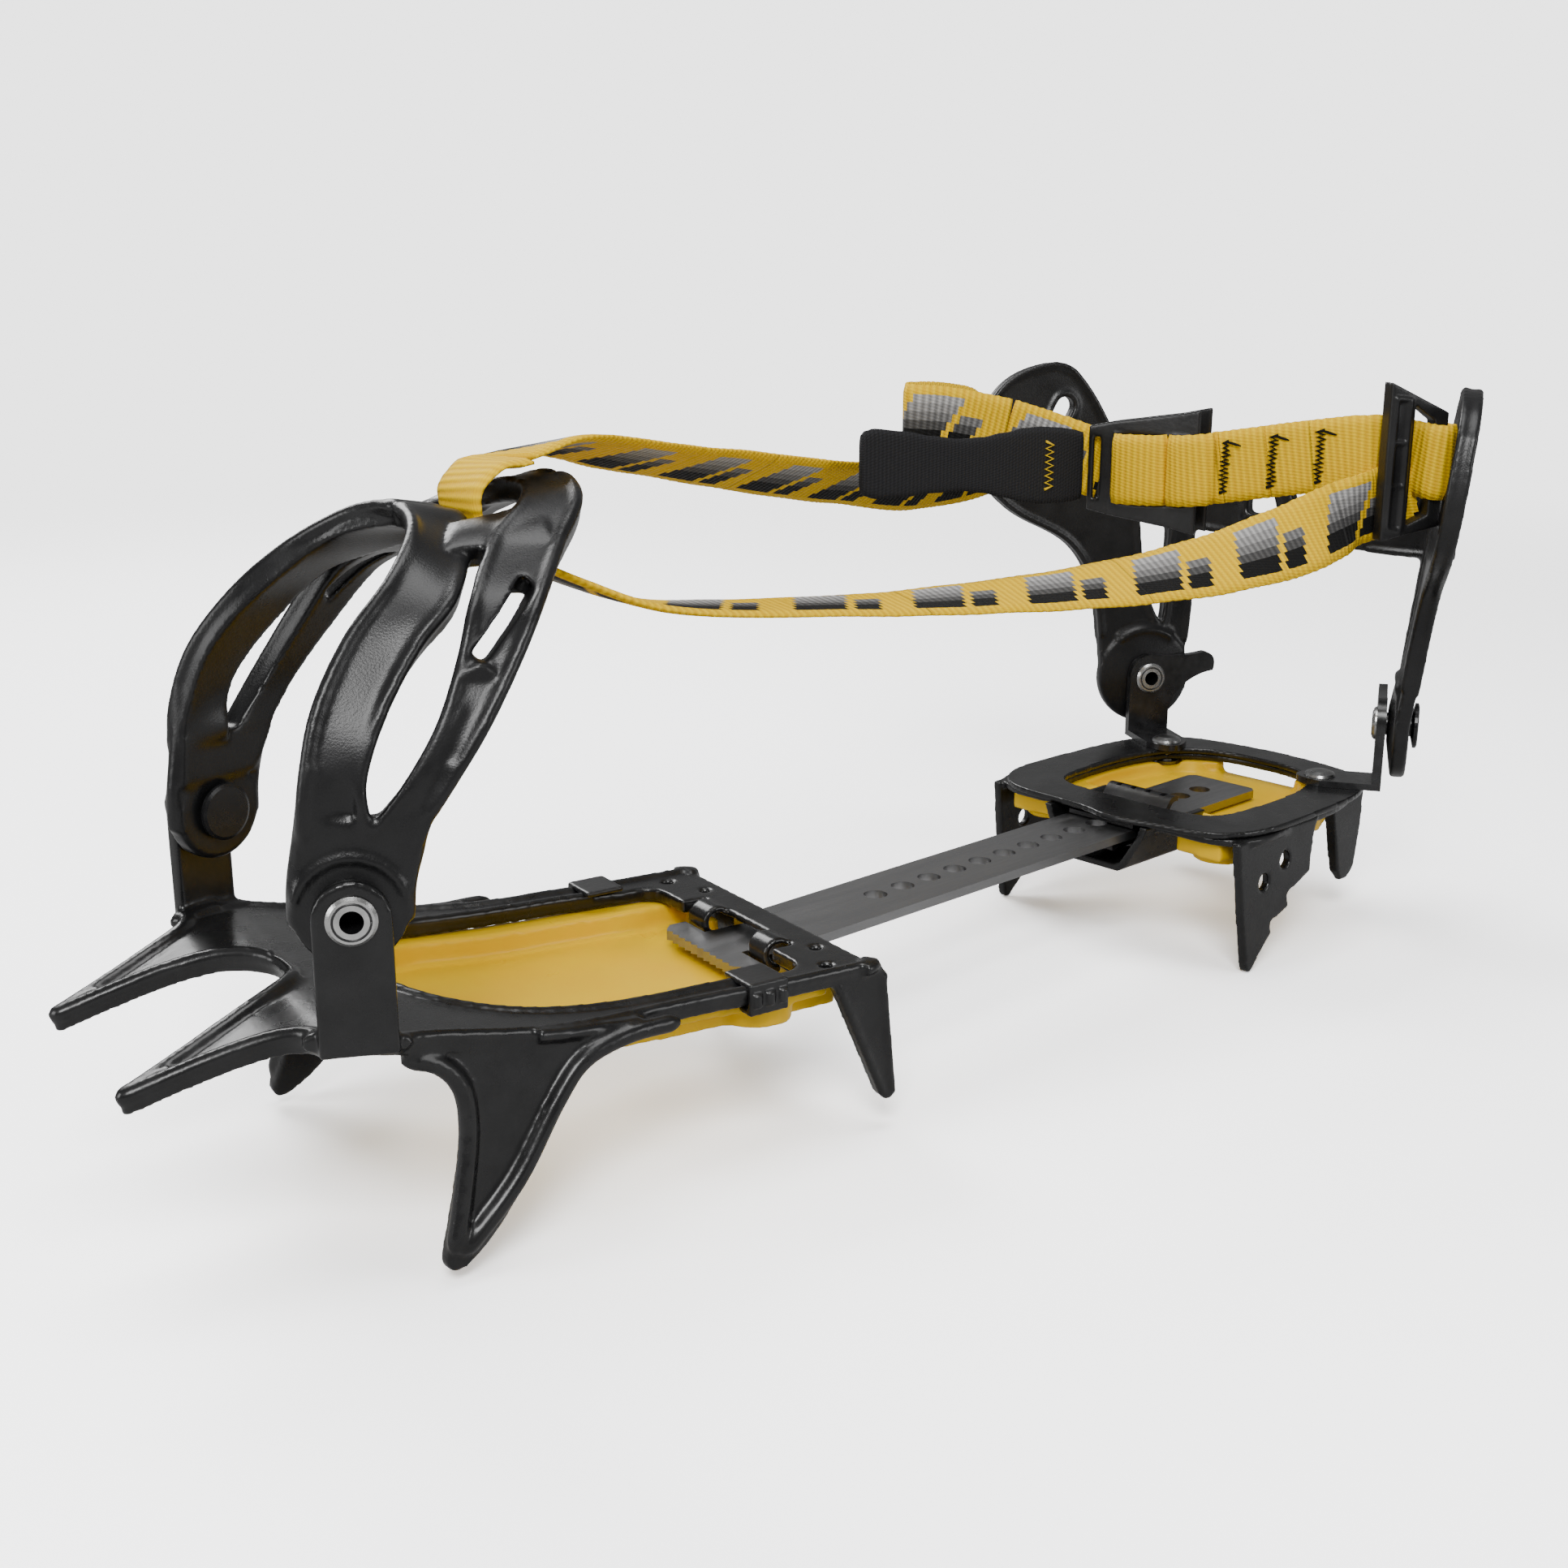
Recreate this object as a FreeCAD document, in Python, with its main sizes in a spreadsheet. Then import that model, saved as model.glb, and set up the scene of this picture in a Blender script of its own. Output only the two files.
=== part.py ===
import FreeCAD, Part
import math
import os

import Sketcher

V = FreeCAD.Vector
UP = V(0, 0, 1)
ACROSS = V(0, 1, 0)

# Driving dimensions in millimetres and degrees: alias, value, meaning.
DIMENSIONS = [
    ("bar_width", 20.0, "link bar, width"),
    ("bar_thick", 2.0, "link bar, sheet thickness"),
    ("bar_top", -3.6, "link bar, height of its top face"),
    ("bar_end", 168.0, "link bar, distance of its plain end from the T-slot"),
    ("hole_pitch", 8.5, "link bar, distance between adjusting holes"),
    ("hole_first", 38.25, "link bar, distance of the first hole from the T-slot"),
    ("hole_count", 15, "link bar, number of adjusting holes"),
    ("hole_radius", 2.6, "link bar, radius of an adjusting hole"),
    ("toe_out_angle", 9.25, "angle between the front frame and the link bar"),
    ("frame_thick", 3.0, "front frame, forging thickness"),
    ("rail_half_width", 34.3, "front frame, half width over the side rails"),
    ("point_thick", 3.2, "folded points, thickness"),
    ("toe_lug_thick", 2.4, "toe lug, thickness"),
    ("toe_lug_half", 6.3, "toe lug, half width"),
    ("toe_pivot_height", 31.3, "toe rivet, height"),
    ("toe_pivot_back", 97.35, "toe lug face, distance in front of the T-slot"),
    ("toe_pivot_side", 38.7, "toe lug face, distance from the middle"),
    ("toe_hub_radius", 9.2, "toe cage, hub radius"),
    ("toe_hub_thick", 5.0, "toe cage, hub thickness"),
    ("cage_thick", 4.4, "toe cage, limb thickness"),
    ("heel_pivot_height", 16.1, "heel rivet, height"),
    ("heel_pivot_back", 183.8, "heel hub middle, distance behind the T-slot"),
    ("heel_pivot_side", 38.8, "heel hub middle, distance from the middle"),
    ("heel_lug_thick", 2.2, "heel lug, thickness"),
    ("heel_lug_half", 5.75, "heel lug, half width"),
    ("heel_hub_radius", 13.1, "heel cradle, hub radius"),
    ("heel_hub_thick", 5.2, "heel cradle, hub thickness"),
    ("cradle_thick", 3.4, "heel cradle, arm thickness"),
    ("plate_thick", 1.5, "heel ring plate, thickness"),
    ("heel_frame_thick", 1.8, "heel frame, thickness"),
    ("rivet_shank_radius", 2.8, "toe and heel rivets, shank radius"),
    ("rivet_bore_radius", 1.9, "toe and heel rivets, bore radius"),
    ("rivet_flange_radius", 4.1, "toe and heel rivets, rolled flange radius"),
    ("rivet_play", 0.5, "radial play of a hub on its rivet"),
    ("adjuster_pin_radius", 1.25, "adjuster lever pin, radius"),
    ("adjuster_pin_length", 24.0, "adjuster lever pin, length"),
    ("running_play", 0.05, "radial play of the adjuster lever on its pin"),
    ("strap_width", 16.5, "strap, webbing width"),
    ("strap_thick", 1.6, "strap, webbing thickness"),
    ("tab_thick", 1.5, "pull tab, webbing thickness"),
]

TOE_NORMAL_ANGLE = 111.0
HEEL_NORMAL_ANGLE = 60.0
HUB_DISH = 0.13
HUB_GAP = 0.45

doc = FreeCAD.newDocument("crampon")
sheet = doc.addObject("Spreadsheet::Sheet", "sizes")
for row, (alias, value, meaning) in enumerate(DIMENSIONS, 1):
    sheet.set(f"A{row}", meaning)
    sheet.set(f"B{row}", str(value))
    sheet.setAlias(f"B{row}", alias)
doc.recompute()


def size(alias):
    return float(sheet.get(alias))


FRONT = FreeCAD.Placement(V(0, 0, 0), FreeCAD.Rotation(UP, -size("toe_out_angle")))
sub_parts = []


# ---------------------------------------------------------------- shared geometry


class Upright:
    """The upright plane of a lug on the far side. s runs back along it, out runs away from the middle."""

    def __init__(self, x, y, normal_angle):
        a = math.radians(normal_angle)
        self.origin = V(x, y, 0)
        self.out = V(math.cos(a), math.sin(a), 0)
        self.back = V(math.sin(a), -math.cos(a), 0)

    def at(self, s, z, out=0.0):
        return self.origin + self.back * s + self.out * out + UP * z


TOE = Upright(-size("toe_pivot_back"), size("toe_pivot_side"), TOE_NORMAL_ANGLE)
HEEL = Upright(size("heel_pivot_back"), size("heel_pivot_side"), HEEL_NORMAL_ANGLE)


def edge(points):
    """A straight edge through two points, or a smooth curve through more."""
    points = [V(*p) if isinstance(p, tuple) else p for p in points]
    if len(points) == 2:
        return Part.makeLine(points[0], points[1])
    curve = Part.BSplineCurve()
    curve.interpolate(points)
    return curve.toShape()


def closed_face(runs):
    """A flat face whose outline goes through each run of points in turn."""
    return Part.Face(Part.Wire([edge(run) for run in runs]))


def side_runs(runs, y):
    """Outline runs given as (x, z) pairs, stood up in the plane at y."""
    return [[(x, y, z) for x, z in run] for run in runs]


def both_sides(shape):
    """The far-side shape, trimmed at the middle, and its mirror image on the near side, as one."""
    far = shape.common(Part.makeBox(500, 200, 300, V(-250, 0, -100)))
    return far.fuse(far.mirror(V(0, 0, 0), ACROSS)).removeSplitter()


def apart(shape):
    """The far-side shape and its mirror image, as two separate solids."""
    return Part.makeCompound([shape, shape.mirror(V(0, 0, 0), ACROSS)])


def blade(stations, thickness, faceted=False):
    """A strip lofted through stations, each given as its two edge points."""
    stations = [[V(*p) if isinstance(p, tuple) else p for p in pair] for pair in stations]
    middles = [(a + b) * 0.5 for a, b in stations]
    sections = []
    for i, (a, b) in enumerate(stations):
        ahead = middles[min(i + 1, len(middles) - 1)] - middles[max(i - 1, 0)]
        lift = (b - a).cross(ahead)
        lift.normalize()
        lift = lift * (thickness / 2)
        corners = [a - lift, b - lift, b + lift, a + lift]
        sections.append(Part.makePolygon(corners + corners[:1]))
    return Part.makeLoft(sections, True, faceted)


def turned(profile, base, axis):
    """A solid of revolution: profile is (radius, distance along axis) pairs."""
    points = [V(r, 0, u) for r, u in profile]
    face = Part.Face(Part.makePolygon(points + points[:1]))
    solid = face.revolve(V(0, 0, 0), UP, 360)
    solid.Placement = FreeCAD.Placement(base, FreeCAD.Rotation(UP, axis))
    return solid


def add_feature(label, shape, placement=None):
    """Keeps a shape as a named sub-part."""
    part = doc.addObject("Part::Feature", label)
    part.Label = label
    part.Shape = shape
    if placement:
        part.Placement = placement
    sub_parts.append(part)
    return part


def new_body(label):
    body = doc.addObject("PartDesign::Body", label)
    body.Label = label
    sub_parts.append(body)
    return body


def flat_sketch(body, name, height):
    """A sketch lying flat at the given height."""
    sketch = body.newObject("Sketcher::SketchObject", name)
    base = next(f for f in body.Origin.OriginFeatures if f.Role == "XY_Plane")
    sketch.AttachmentSupport = [(base, "")]
    sketch.MapMode = "FlatFace"
    sketch.AttachmentOffset = FreeCAD.Placement(V(0, 0, height), FreeCAD.Rotation())
    return sketch


def draw_outline(sketch, points):
    """Closed outline of straight sides, joined corner to corner."""
    count = len(points)
    for i, (x, y) in enumerate(points):
        nx, ny = points[(i + 1) % count]
        sketch.addGeometry(Part.LineSegment(V(x, y, 0), V(nx, ny, 0)), False)
    for i in range(count):
        sketch.addConstraint(Sketcher.Constraint("Coincident", i, 2, (i + 1) % count, 1))


def draw_smooth_outline(sketch, points):
    """Closed outline that runs smoothly through the points."""
    curve = Part.BSplineCurve()
    curve.interpolate([V(x, y, 0) for x, y in points], True)
    sketch.addGeometry(curve, False)


def pad(body, sketch, alias):
    feature = body.newObject("PartDesign::Pad", "pad_" + sketch.Name)
    feature.Profile = sketch
    feature.setExpression("Length", f"{sheet.Name}.{alias}")
    return feature


# ---------------------------------------------------------------- front section


def rocker_points():
    """Side view of the front frame's top face, from the front point tips to the rear corners."""
    return [(-131, 2.2), (-123, 4.9), (-116, 7.2), (-108, 9.6), (-100, 10.9), (-92, 10.2),
            (-80, 7.7), (-65, 4.4), (-45, 1.9), (-25, 1.0), (-10, 0.3), (10, 0.0)]


def rocker_slab(top_drop, bottom_drop):
    """The layer between two depths below the front frame's top face."""
    reach = 60
    top = [(x, z - top_drop) for x, z in rocker_points()]
    bottom = [(x, z - bottom_drop) for x, z in rocker_points()]
    runs = side_runs([top, [top[-1], bottom[-1]], bottom[::-1], [bottom[0], top[0]]], -reach)
    return closed_face(runs).extrude(ACROSS * (2 * reach))


def upright_prism(runs):
    """A tall prism on an outline given as (x, y) runs."""
    low, height = -40, 90
    flat = [[(x, y, low) for x, y in run] for run in runs]
    return closed_face(flat).extrude(UP * height)


def front_outline():
    """Far half of the front frame seen from above."""
    rail = size("rail_half_width")
    crotch = (-95.8, 0)
    tip_in, tip_out = (-129.4, 19.0), (-129.0, 21.4)
    lug_front, lug_back = (-102.4, 35.4), (-90.6, 39.4)
    return [
        [crotch, (-96.6, 4.5), (-101, 9.4), (-109, 13.6), (-119, 16.7), tip_in],
        [tip_in, (-130.3, 20.3), tip_out],
        [tip_out, (-120, 23.6), (-111, 26.6), (-104.5, 30.4), lug_front],
        [lug_front, lug_back],
        [lug_back, (-84, 38.2), (-70, 37.6), (-57, 36.2), (-42, rail + 0.2), (-30, rail)],
        [(-30, rail), (4.5, rail)],
        [(4.5, rail), (7.0, rail - 0.9), (7.85, rail - 3.5)],
        [(7.85, rail - 3.5), (7.85, 0)],
        [(7.85, 0), (0.8, 0)],
        [(0.8, 0), (0.8, 16.5)],
        [(0.8, 16.5), (-4.5, 16.5)],
        [(-4.5, 16.5), (-4.5, 24)],
        [(-4.5, 24), (-5.8, 26.8), (-9, 28)],
        [(-9, 28), (-30, 28.2), (-48, 28), (-60, 26.6), (-70, 23), (-77, 17), (-81, 8), (-81.8, 0)],
        [(-81.8, 0), crotch],
    ]


def folded_point(runs, y_outer, hinge_height, lean):
    """A flat point standing below the rail, leaning out by an angle."""
    thick = size("point_thick")
    plate = closed_face(side_runs(runs, y_outer - thick)).extrude(ACROSS * thick)
    plate.rotate(V(0, y_outer, hinge_height), V(1, 0, 0), lean)
    return plate


def second_point():
    """The long raked point behind the toe."""
    runs = [
        [(-89, 6.3), (-83.5, 3.6), (-80, -2), (-80.6, -11), (-84.2, -24), (-86.2, -30.2)],
        [(-86.2, -30.2), (-85, -32.2), (-82.4, -31.8)],
        [(-82.4, -31.8), (-70.4, -20.5), (-61.2, -7.8), (-54.6, -1.6), (-44, 0.4)],
        [(-44, 0.4), (-46, 1.8)],
        [(-46, 1.8), (-65, 4.2), (-80, 7.4), (-89, 9.2)],
        [(-89, 9.2), (-89, 6.3)],
    ]
    return folded_point(runs, 37.6, 2.0, 9.0)


def rear_point():
    """The short point folded down at the rear corner."""
    runs = [
        [(-4.5, -0.2), (-1.2, -3.6)],
        [(-1.2, -3.6), (8.3, -26.6)],
        [(8.3, -26.6), (10.0, -28.0), (11.8, -27.0)],
        [(11.8, -27.0), (10.2, -3.4)],
        [(10.2, -3.4), (7.6, -0.2)],
        [(7.6, -0.2), (-4.5, -0.2)],
    ]
    return folded_point(runs, size("rail_half_width"), -1.0, 3.0)


def toe_lug():
    """Upright strip that carries the toe rivet."""
    half, eye, bottom = size("toe_lug_half"), size("toe_pivot_height"), 8.2
    thick = size("toe_lug_thick")
    arc = Part.Arc(TOE.at(half, eye), TOE.at(0, eye + half), TOE.at(-half, eye)).toShape()
    sides = [
        edge([TOE.at(-half, eye), TOE.at(-half, bottom)]),
        edge([TOE.at(-half, bottom), TOE.at(half, bottom)]),
        edge([TOE.at(half, bottom), TOE.at(half, eye)]),
    ]
    strip = Part.Face(Part.Wire(sides + [arc])).extrude(TOE.out * -thick)
    hole = Part.makeCylinder(size("rivet_shank_radius") + 0.02, 3 * thick, TOE.at(0, eye, thick), TOE.out * -1)
    return strip.cut(hole)


def bar_loop():
    """Rolled loop on the cross-member that the T of the link bar bears on."""
    outer, inner, width, inside = 3.4, 2.1, 6.8, 7.8
    centre = V(-1.2, inside, -2.6)
    ring = Part.makeCylinder(outer, width, centre, ACROSS)
    ring = ring.cut(Part.makeCylinder(inner, width, centre, ACROSS))
    return ring.cut(Part.makeBox(8, width, 8, centre + V(0, 0, -8)))


def front_frame():
    frame = upright_prism(front_outline()).common(rocker_slab(0, size("frame_thick")))
    for piece in (second_point(), rear_point(), toe_lug(), bar_loop()):
        frame = frame.fuse(piece)
    channel = Part.makeBox(12, 13.5, 8, V(-0.2, 0, -9.6))
    small_hole = Part.makeCylinder(1.1, 20, V(3.4, 20.5, -10), UP)
    corner_hole = Part.makeCylinder(1.3, 20, V(-0.5, 29.5, -10), UP)
    frame = frame.cut(channel).cut(small_hole).cut(corner_hole)
    add_feature("front_frame", both_sides(frame), FRONT)


def front_antiball_plate():
    """Dished plastic plate below the front frame that sheds snow."""
    rim = [
        [(-84.5, 0), (-84, 9), (-80, 18), (-72, 26), (-60, 30.6)],
        [(-60, 30.6), (-1, 31)],
        [(-1, 31), (-1, 15.6)],
        [(-1, 15.6), (-13.4, 15.6)],
        [(-13.4, 15.6), (-13.4, 0)],
        [(-13.4, 0), (-84.5, 0)],
    ]
    pan = [
        [(-82, 0), (-81, 8), (-76, 17), (-69, 23), (-58, 26.4)],
        [(-58, 26.4), (4, 26.6)],
        [(4, 26.6), (4, 0)],
        [(4, 0), (-82, 0)],
    ]
    hollow = [
        [(-80, 0), (-79, 7), (-74, 15.4), (-67.5, 21), (-57, 24.4)],
        [(-57, 24.4), (2, 24.6)],
        [(2, 24.6), (2, 15.6)],
        [(2, 15.6), (6, 15.6)],
        [(6, 15.6), (6, 0)],
        [(6, 0), (-80, 0)],
    ]
    plate = upright_prism(rim).common(rocker_slab(3.3, 5.8))
    plate = plate.fuse(upright_prism(pan).common(rocker_slab(5.0, 9.8)))
    plate = plate.cut(upright_prism(hollow).common(rocker_slab(-20, 8.2)))
    for x in (-14, -66):
        bump = Part.makeCylinder(7.5, 14, V(x, 24.5, -12), UP)
        plate = plate.fuse(bump.common(rocker_slab(5.0, 9.4)).cut(upright_prism(hollow)))
    add_feature("front_antiball_plate", both_sides(plate), FRONT)


def rail_clips():
    """Stamped clips that grip the rails and hold the plastic plate."""
    rail, wall, long = size("rail_half_width"), 1.1, 8.5
    play, start = 0.1, -21.5
    low, tall = -3.9, 6.2
    outer = Part.makeBox(long, rail - 26.2 + wall, tall, V(start, 26.2, low))
    inner = Part.makeBox(long, rail - 20, tall - 2 * wall, V(start, 20 + play, low + wall))
    clip = outer.cut(inner)
    mouth = Part.makeBox(long, 31.3 - 20, 4.5, V(start, 20, low - 0.5))
    clip = clip.cut(mouth)
    for i in range(3):
        x = start + long * (i + 0.5) / 3
        clip = clip.fuse(Part.makeCylinder(1.0, 2.6, V(x, rail + wall + 0.1, -2.2), UP))
    add_feature("rail_clips", apart(clip.removeSplitter()), FRONT)


def eyelet(base, axis, hub_start, hub_thick, head_radius):
    """Tubular rivet: rolled flange on the lug, shank through the hub, flat head beyond it."""
    bore, shank = size("rivet_bore_radius"), size("rivet_shank_radius")
    flange, under = size("rivet_flange_radius"), hub_start + hub_thick + 0.35
    rise = HUB_DISH * (head_radius - shank) + 0.3
    profile = [(bore, 0), (bore, -0.9), (flange - 0.5, -0.9), (flange, -0.4), (flange, 0), (shank, 0),
               (shank, under), (head_radius, under + rise), (head_radius, under + rise + 0.7),
               (head_radius - 0.6, under + rise + 1.0), (0, under + rise + 1.0), (0, under), (bore, under)]
    return turned(profile, base, axis)


def toe_rivets():
    base = TOE.at(0, size("toe_pivot_height"))
    start = size("toe_lug_thick") + HUB_GAP
    add_feature("toe_rivets", apart(eyelet(base, TOE.out * -1, start, size("toe_hub_thick"), 5.3)), FRONT)


def hub(base, axis, radius, start, thick):
    """Round hub whose face towards the lug is dished, so that it can rock on a splayed rivet."""
    hole = size("rivet_shank_radius") + size("rivet_play")
    near = start + HUB_DISH * radius
    profile = [(hole, start), (radius, near), (radius, start + thick - 0.5), (radius - 0.5, start + thick),
               (hole, start + thick)]
    return turned(profile, base, axis)


def cage_point(s, z, shift=0.0):
    """A point on the toe cage's side. The side leans in towards its top."""
    lean = 6.0 + (0.0145 * (z - 46.0) ** 2 if z > 46.0 else 0.0)
    return TOE.at(s, z, -(lean + shift))


def cage_side():
    """Far side of the toe cage: hub, root, broad front limb and slotted rear limb."""
    thick = size("cage_thick")
    eye = size("toe_pivot_height")
    radius = size("toe_hub_radius")
    side = hub(TOE.at(0, eye), TOE.out * -1, radius, size("toe_lug_thick") + HUB_GAP, size("toe_hub_thick"))
    root = [(cage_point(-7.8, 37.4), cage_point(8.4, 37.4)), (cage_point(-7.7, 40), cage_point(10.6, 40)),
            (cage_point(-7.0, 46.5), cage_point(13.6, 46))]
    front_limb = [(cage_point(-7.2, 44), cage_point(3.0, 44.2)), (cage_point(-6.2, 52), cage_point(3.4, 52)),
                  (cage_point(-3.8, 62), cage_point(7.2, 61.5)), (cage_point(1.8, 72), cage_point(13.6, 70.5)),
                  (cage_point(8.6, 79.6), cage_point(19.6, 76.6)), ((-74.8, 15.5, 84.6), (-64.0, 14.0, 81.6)),
                  ((-71.6, 8, 86.8), (-61.0, 8.0, 84.6)), ((-70.4, 0, 87.6), (-59.8, 0, 85.6))]
    rear_limb = [(cage_point(3.6, 44.6), cage_point(12.8, 45)), (cage_point(9.2, 50.8), cage_point(16.8, 50.4)),
                 (cage_point(15, 59.4), cage_point(22.8, 58.6)), (cage_point(19, 68.6), cage_point(28.6, 67.8)),
                 (cage_point(21.6, 76.2), cage_point(33, 75.4)), ((-60.5, 17.5, 83.4), (-48.4, 20.6, 83.2)),
                 ((-53, 11.6, 87.6), (-41.4, 13.0, 88)), ((-48.8, 5.0, 89.6), (-38.8, 5.4, 90.4)),
                 ((-48.2, 0, 90), (-38.6, 0, 90.8))]
    for stations in (root, front_limb, rear_limb):
        side = side.fuse(blade(stations, thick))
    bridge = [((-69, 17.4, 82.0), (-51.5, 21, 82.8)), ((-66, 12.6, 84.6), (-49.5, 14.4, 86.4)),
              ((-63.6, 9.6, 85.2), (-48, 10.4, 87.4))]
    side = side.fuse(blade(bridge, thick))
    return side.cut(strut_slot())


def strut_slot():
    """Narrow slot along the upper rear limb."""
    reach = 25
    ends = [(21.8, 69.0), (31.4, 79.6)]
    dx, dz = ends[1][0] - ends[0][0], ends[1][1] - ends[0][1]
    length = math.hypot(dx, dz)
    across = (-dz / length * 1.3, dx / length * 1.3)
    corners = [(s + k * across[0], z + k * across[1]) for (s, z), k in
               ((ends[0], 1), (ends[1], 1), (ends[1], -1), (ends[0], -1))]
    points = [TOE.at(s, z) for s, z in corners]
    return Part.Face(Part.makePolygon(points + points[:1])).extrude(TOE.out * -reach)


def toe_cage():
    cage = both_sides(cage_side())
    bore = size("rivet_shank_radius") + size("rivet_play")
    for mirror in (1, -1):
        base = TOE.at(0, size("toe_pivot_height"), 2)
        axis = TOE.out * -1
        base, axis = V(base.x, base.y * mirror, base.z), V(axis.x, axis.y * mirror, 0)
        cage = cage.cut(Part.makeCylinder(bore, 16, base, axis))
    add_feature("toe_cage", cage, FRONT)


# ---------------------------------------------------------------- link bar


def front_to_bar(x, y):
    """A front-section point seen from above, in the bar's directions."""
    a = math.radians(-size("toe_out_angle"))
    return (x * math.cos(a) - y * math.sin(a), x * math.sin(a) + y * math.cos(a))


def link_bar():
    """Flat bar with a toothed T at its front and a row of adjusting holes."""
    half, end = size("bar_width") / 2, size("bar_end")
    slope = math.tan(math.radians(size("toe_out_angle")))
    shoulder, neck, arm, tee_back, tee_front = 4.6, 6.9, 14.5, -5.1, -10.4
    outline = [(end - 1.5, -half), (end, -half + 1.5), (end, half - 1.5), (end - 1.5, half)]
    outline += [(shoulder + half * slope, half)]
    outline += [front_to_bar(*p) for p in
                ((shoulder, neck), (tee_back, neck), (tee_back, arm), (tee_front + 1.5, arm))]
    teeth = 11
    for i in range(teeth):
        y = (arm - 1.5) - (2 * arm - 3) * i / teeth
        outline += [front_to_bar(tee_front, y), front_to_bar(tee_front - 0.8, y - (arm - 1.5) / teeth)]
    outline += [front_to_bar(tee_front, -arm + 1.5)]
    outline += [front_to_bar(*p) for p in
                ((tee_front + 1.5, -arm), (tee_back, -arm), (tee_back, -neck), (shoulder, -neck))]
    outline += [(shoulder - half * slope, -half)]
    body = new_body("link_bar")
    sketch = flat_sketch(body, "bar_outline", size("bar_top") - size("bar_thick"))
    draw_outline(sketch, outline)
    pad(body, sketch, "bar_thick")
    hole = flat_sketch(body, "bar_hole", size("bar_top"))
    hole.addGeometry(Part.Circle(V(size("hole_first"), 0, 0), UP, size("hole_radius")), False)
    hole.addConstraint(Sketcher.Constraint("Radius", 0, size("hole_radius")))
    hole.setExpression("Constraints[0]", f"{sheet.Name}.hole_radius")
    doc.recompute()
    pocket = body.newObject("PartDesign::Pocket", "bar_hole_pocket")
    pocket.Profile = hole
    pocket.Type = "ThroughAll"
    doc.recompute()
    row = body.newObject("PartDesign::LinearPattern", "bar_hole_row")
    row.Originals = [pocket]
    row.Direction = (next(f for f in body.Origin.OriginFeatures if f.Role == "X_Axis"), [""])
    row.setExpression("Length", f"{sheet.Name}.hole_pitch * ({sheet.Name}.hole_count - 1)")
    row.setExpression("Occurrences", f"{sheet.Name}.hole_count")
    body.Tip = row


# ---------------------------------------------------------------- heel section


def plate_outline(grow=0.0):
    """Half outline of the heel plate, front to back on the far side."""
    return [(113.6 - grow, 0), (115.4 - grow, 20), (118.2 - grow, 30.4), (123.5, 35.2 + grow),
            (142, 38.0 + grow), (163, 37.2 + grow), (179, 33.6 + grow), (187 + grow, 26.4),
            (190.6 + grow, 15), (191.8 + grow, 0)]


def opening_outline(grow=0.0):
    """Half outline of the opening in the heel plate."""
    return [(127.2 - grow, 0), (127.4 - grow, 14), (129.6 - grow, 21.6), (141, 25.0 + grow),
            (157, 25.2 + grow), (171, 22.4 + grow), (179.5 + grow, 15.4), (182.6 + grow, 0)]


def full_loop(half):
    """A half outline closed with its mirror image."""
    return half + [(x, -y) for x, y in half[-2:0:-1]]


def heel_ring_plate():
    body = new_body("heel_ring_plate")
    outline = flat_sketch(body, "plate_outline", -size("plate_thick"))
    draw_smooth_outline(outline, full_loop(plate_outline()))
    pad(body, outline, "plate_thick")
    doc.recompute()
    opening = flat_sketch(body, "plate_opening", 0.0)
    draw_smooth_outline(opening, full_loop(opening_outline()))
    doc.recompute()
    pocket = body.newObject("PartDesign::Pocket", "plate_opening_pocket")
    pocket.Profile = opening
    pocket.Type = "ThroughAll"
    doc.recompute()
    rivet = HEEL.at(0, 0, RIVET_OUT)
    holes = flat_sketch(body, "plate_rivet_holes", 0.0)
    for y in (rivet.y, -rivet.y):
        holes.addGeometry(Part.Circle(V(rivet.x, y, 0), UP, PLATE_RIVET_SHANK + 0.02), False)
    doc.recompute()
    cut = body.newObject("PartDesign::Pocket", "plate_rivet_pocket")
    cut.Profile = holes
    cut.Type = "ThroughAll"
    body.Tip = cut


RIVET_OUT = -17.6
PLATE_RIVET_SHANK = 2.0
SEAT_PLAY = 0.05


def flat_loop_prism(half, low, high):
    """A prism between two heights on a smooth closed outline."""
    curve = Part.BSplineCurve()
    curve.interpolate([V(x, y, low) for x, y in full_loop(half)], True)
    return Part.Face(Part.Wire([curve.toShape()])).extrude(UP * (high - low))


def heel_front_point():
    """Front heel point with two holes and a scalloped back edge."""
    runs = [
        [(119.8, -1.7), (120.4, -6), (122, -18), (124.4, -32.6)],
        [(124.4, -32.6), (125.6, -34.2), (127.4, -33.2)],
        [(127.4, -33.2), (134.8, -26.6)],
        [(134.8, -26.6), (134.2, -24.2), (136.8, -23.2)],
        [(136.8, -23.2), (141.6, -21.6)],
        [(141.6, -21.6), (141.2, -18.6), (144.0, -17.4)],
        [(144.0, -17.4), (150.6, -14.8)],
        [(150.6, -14.8), (151.2, -8), (153.4, -1.7)],
        [(153.4, -1.7), (119.8, -1.7)],
    ]
    thick = size("heel_frame_thick") + 0.4
    y_outer = 37.2
    plate = closed_face(side_runs(runs, y_outer - thick)).extrude(ACROSS * thick)
    for x, z in ((130.8, -13.2), (139.4, -9.6)):
        plate = plate.cut(Part.makeCylinder(2.1, 4 * thick, V(x, y_outer - 3 * thick, z), ACROSS))
    plate.rotate(V(0, y_outer, -2), V(1, 0, 0), 2.0)
    return plate


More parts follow.
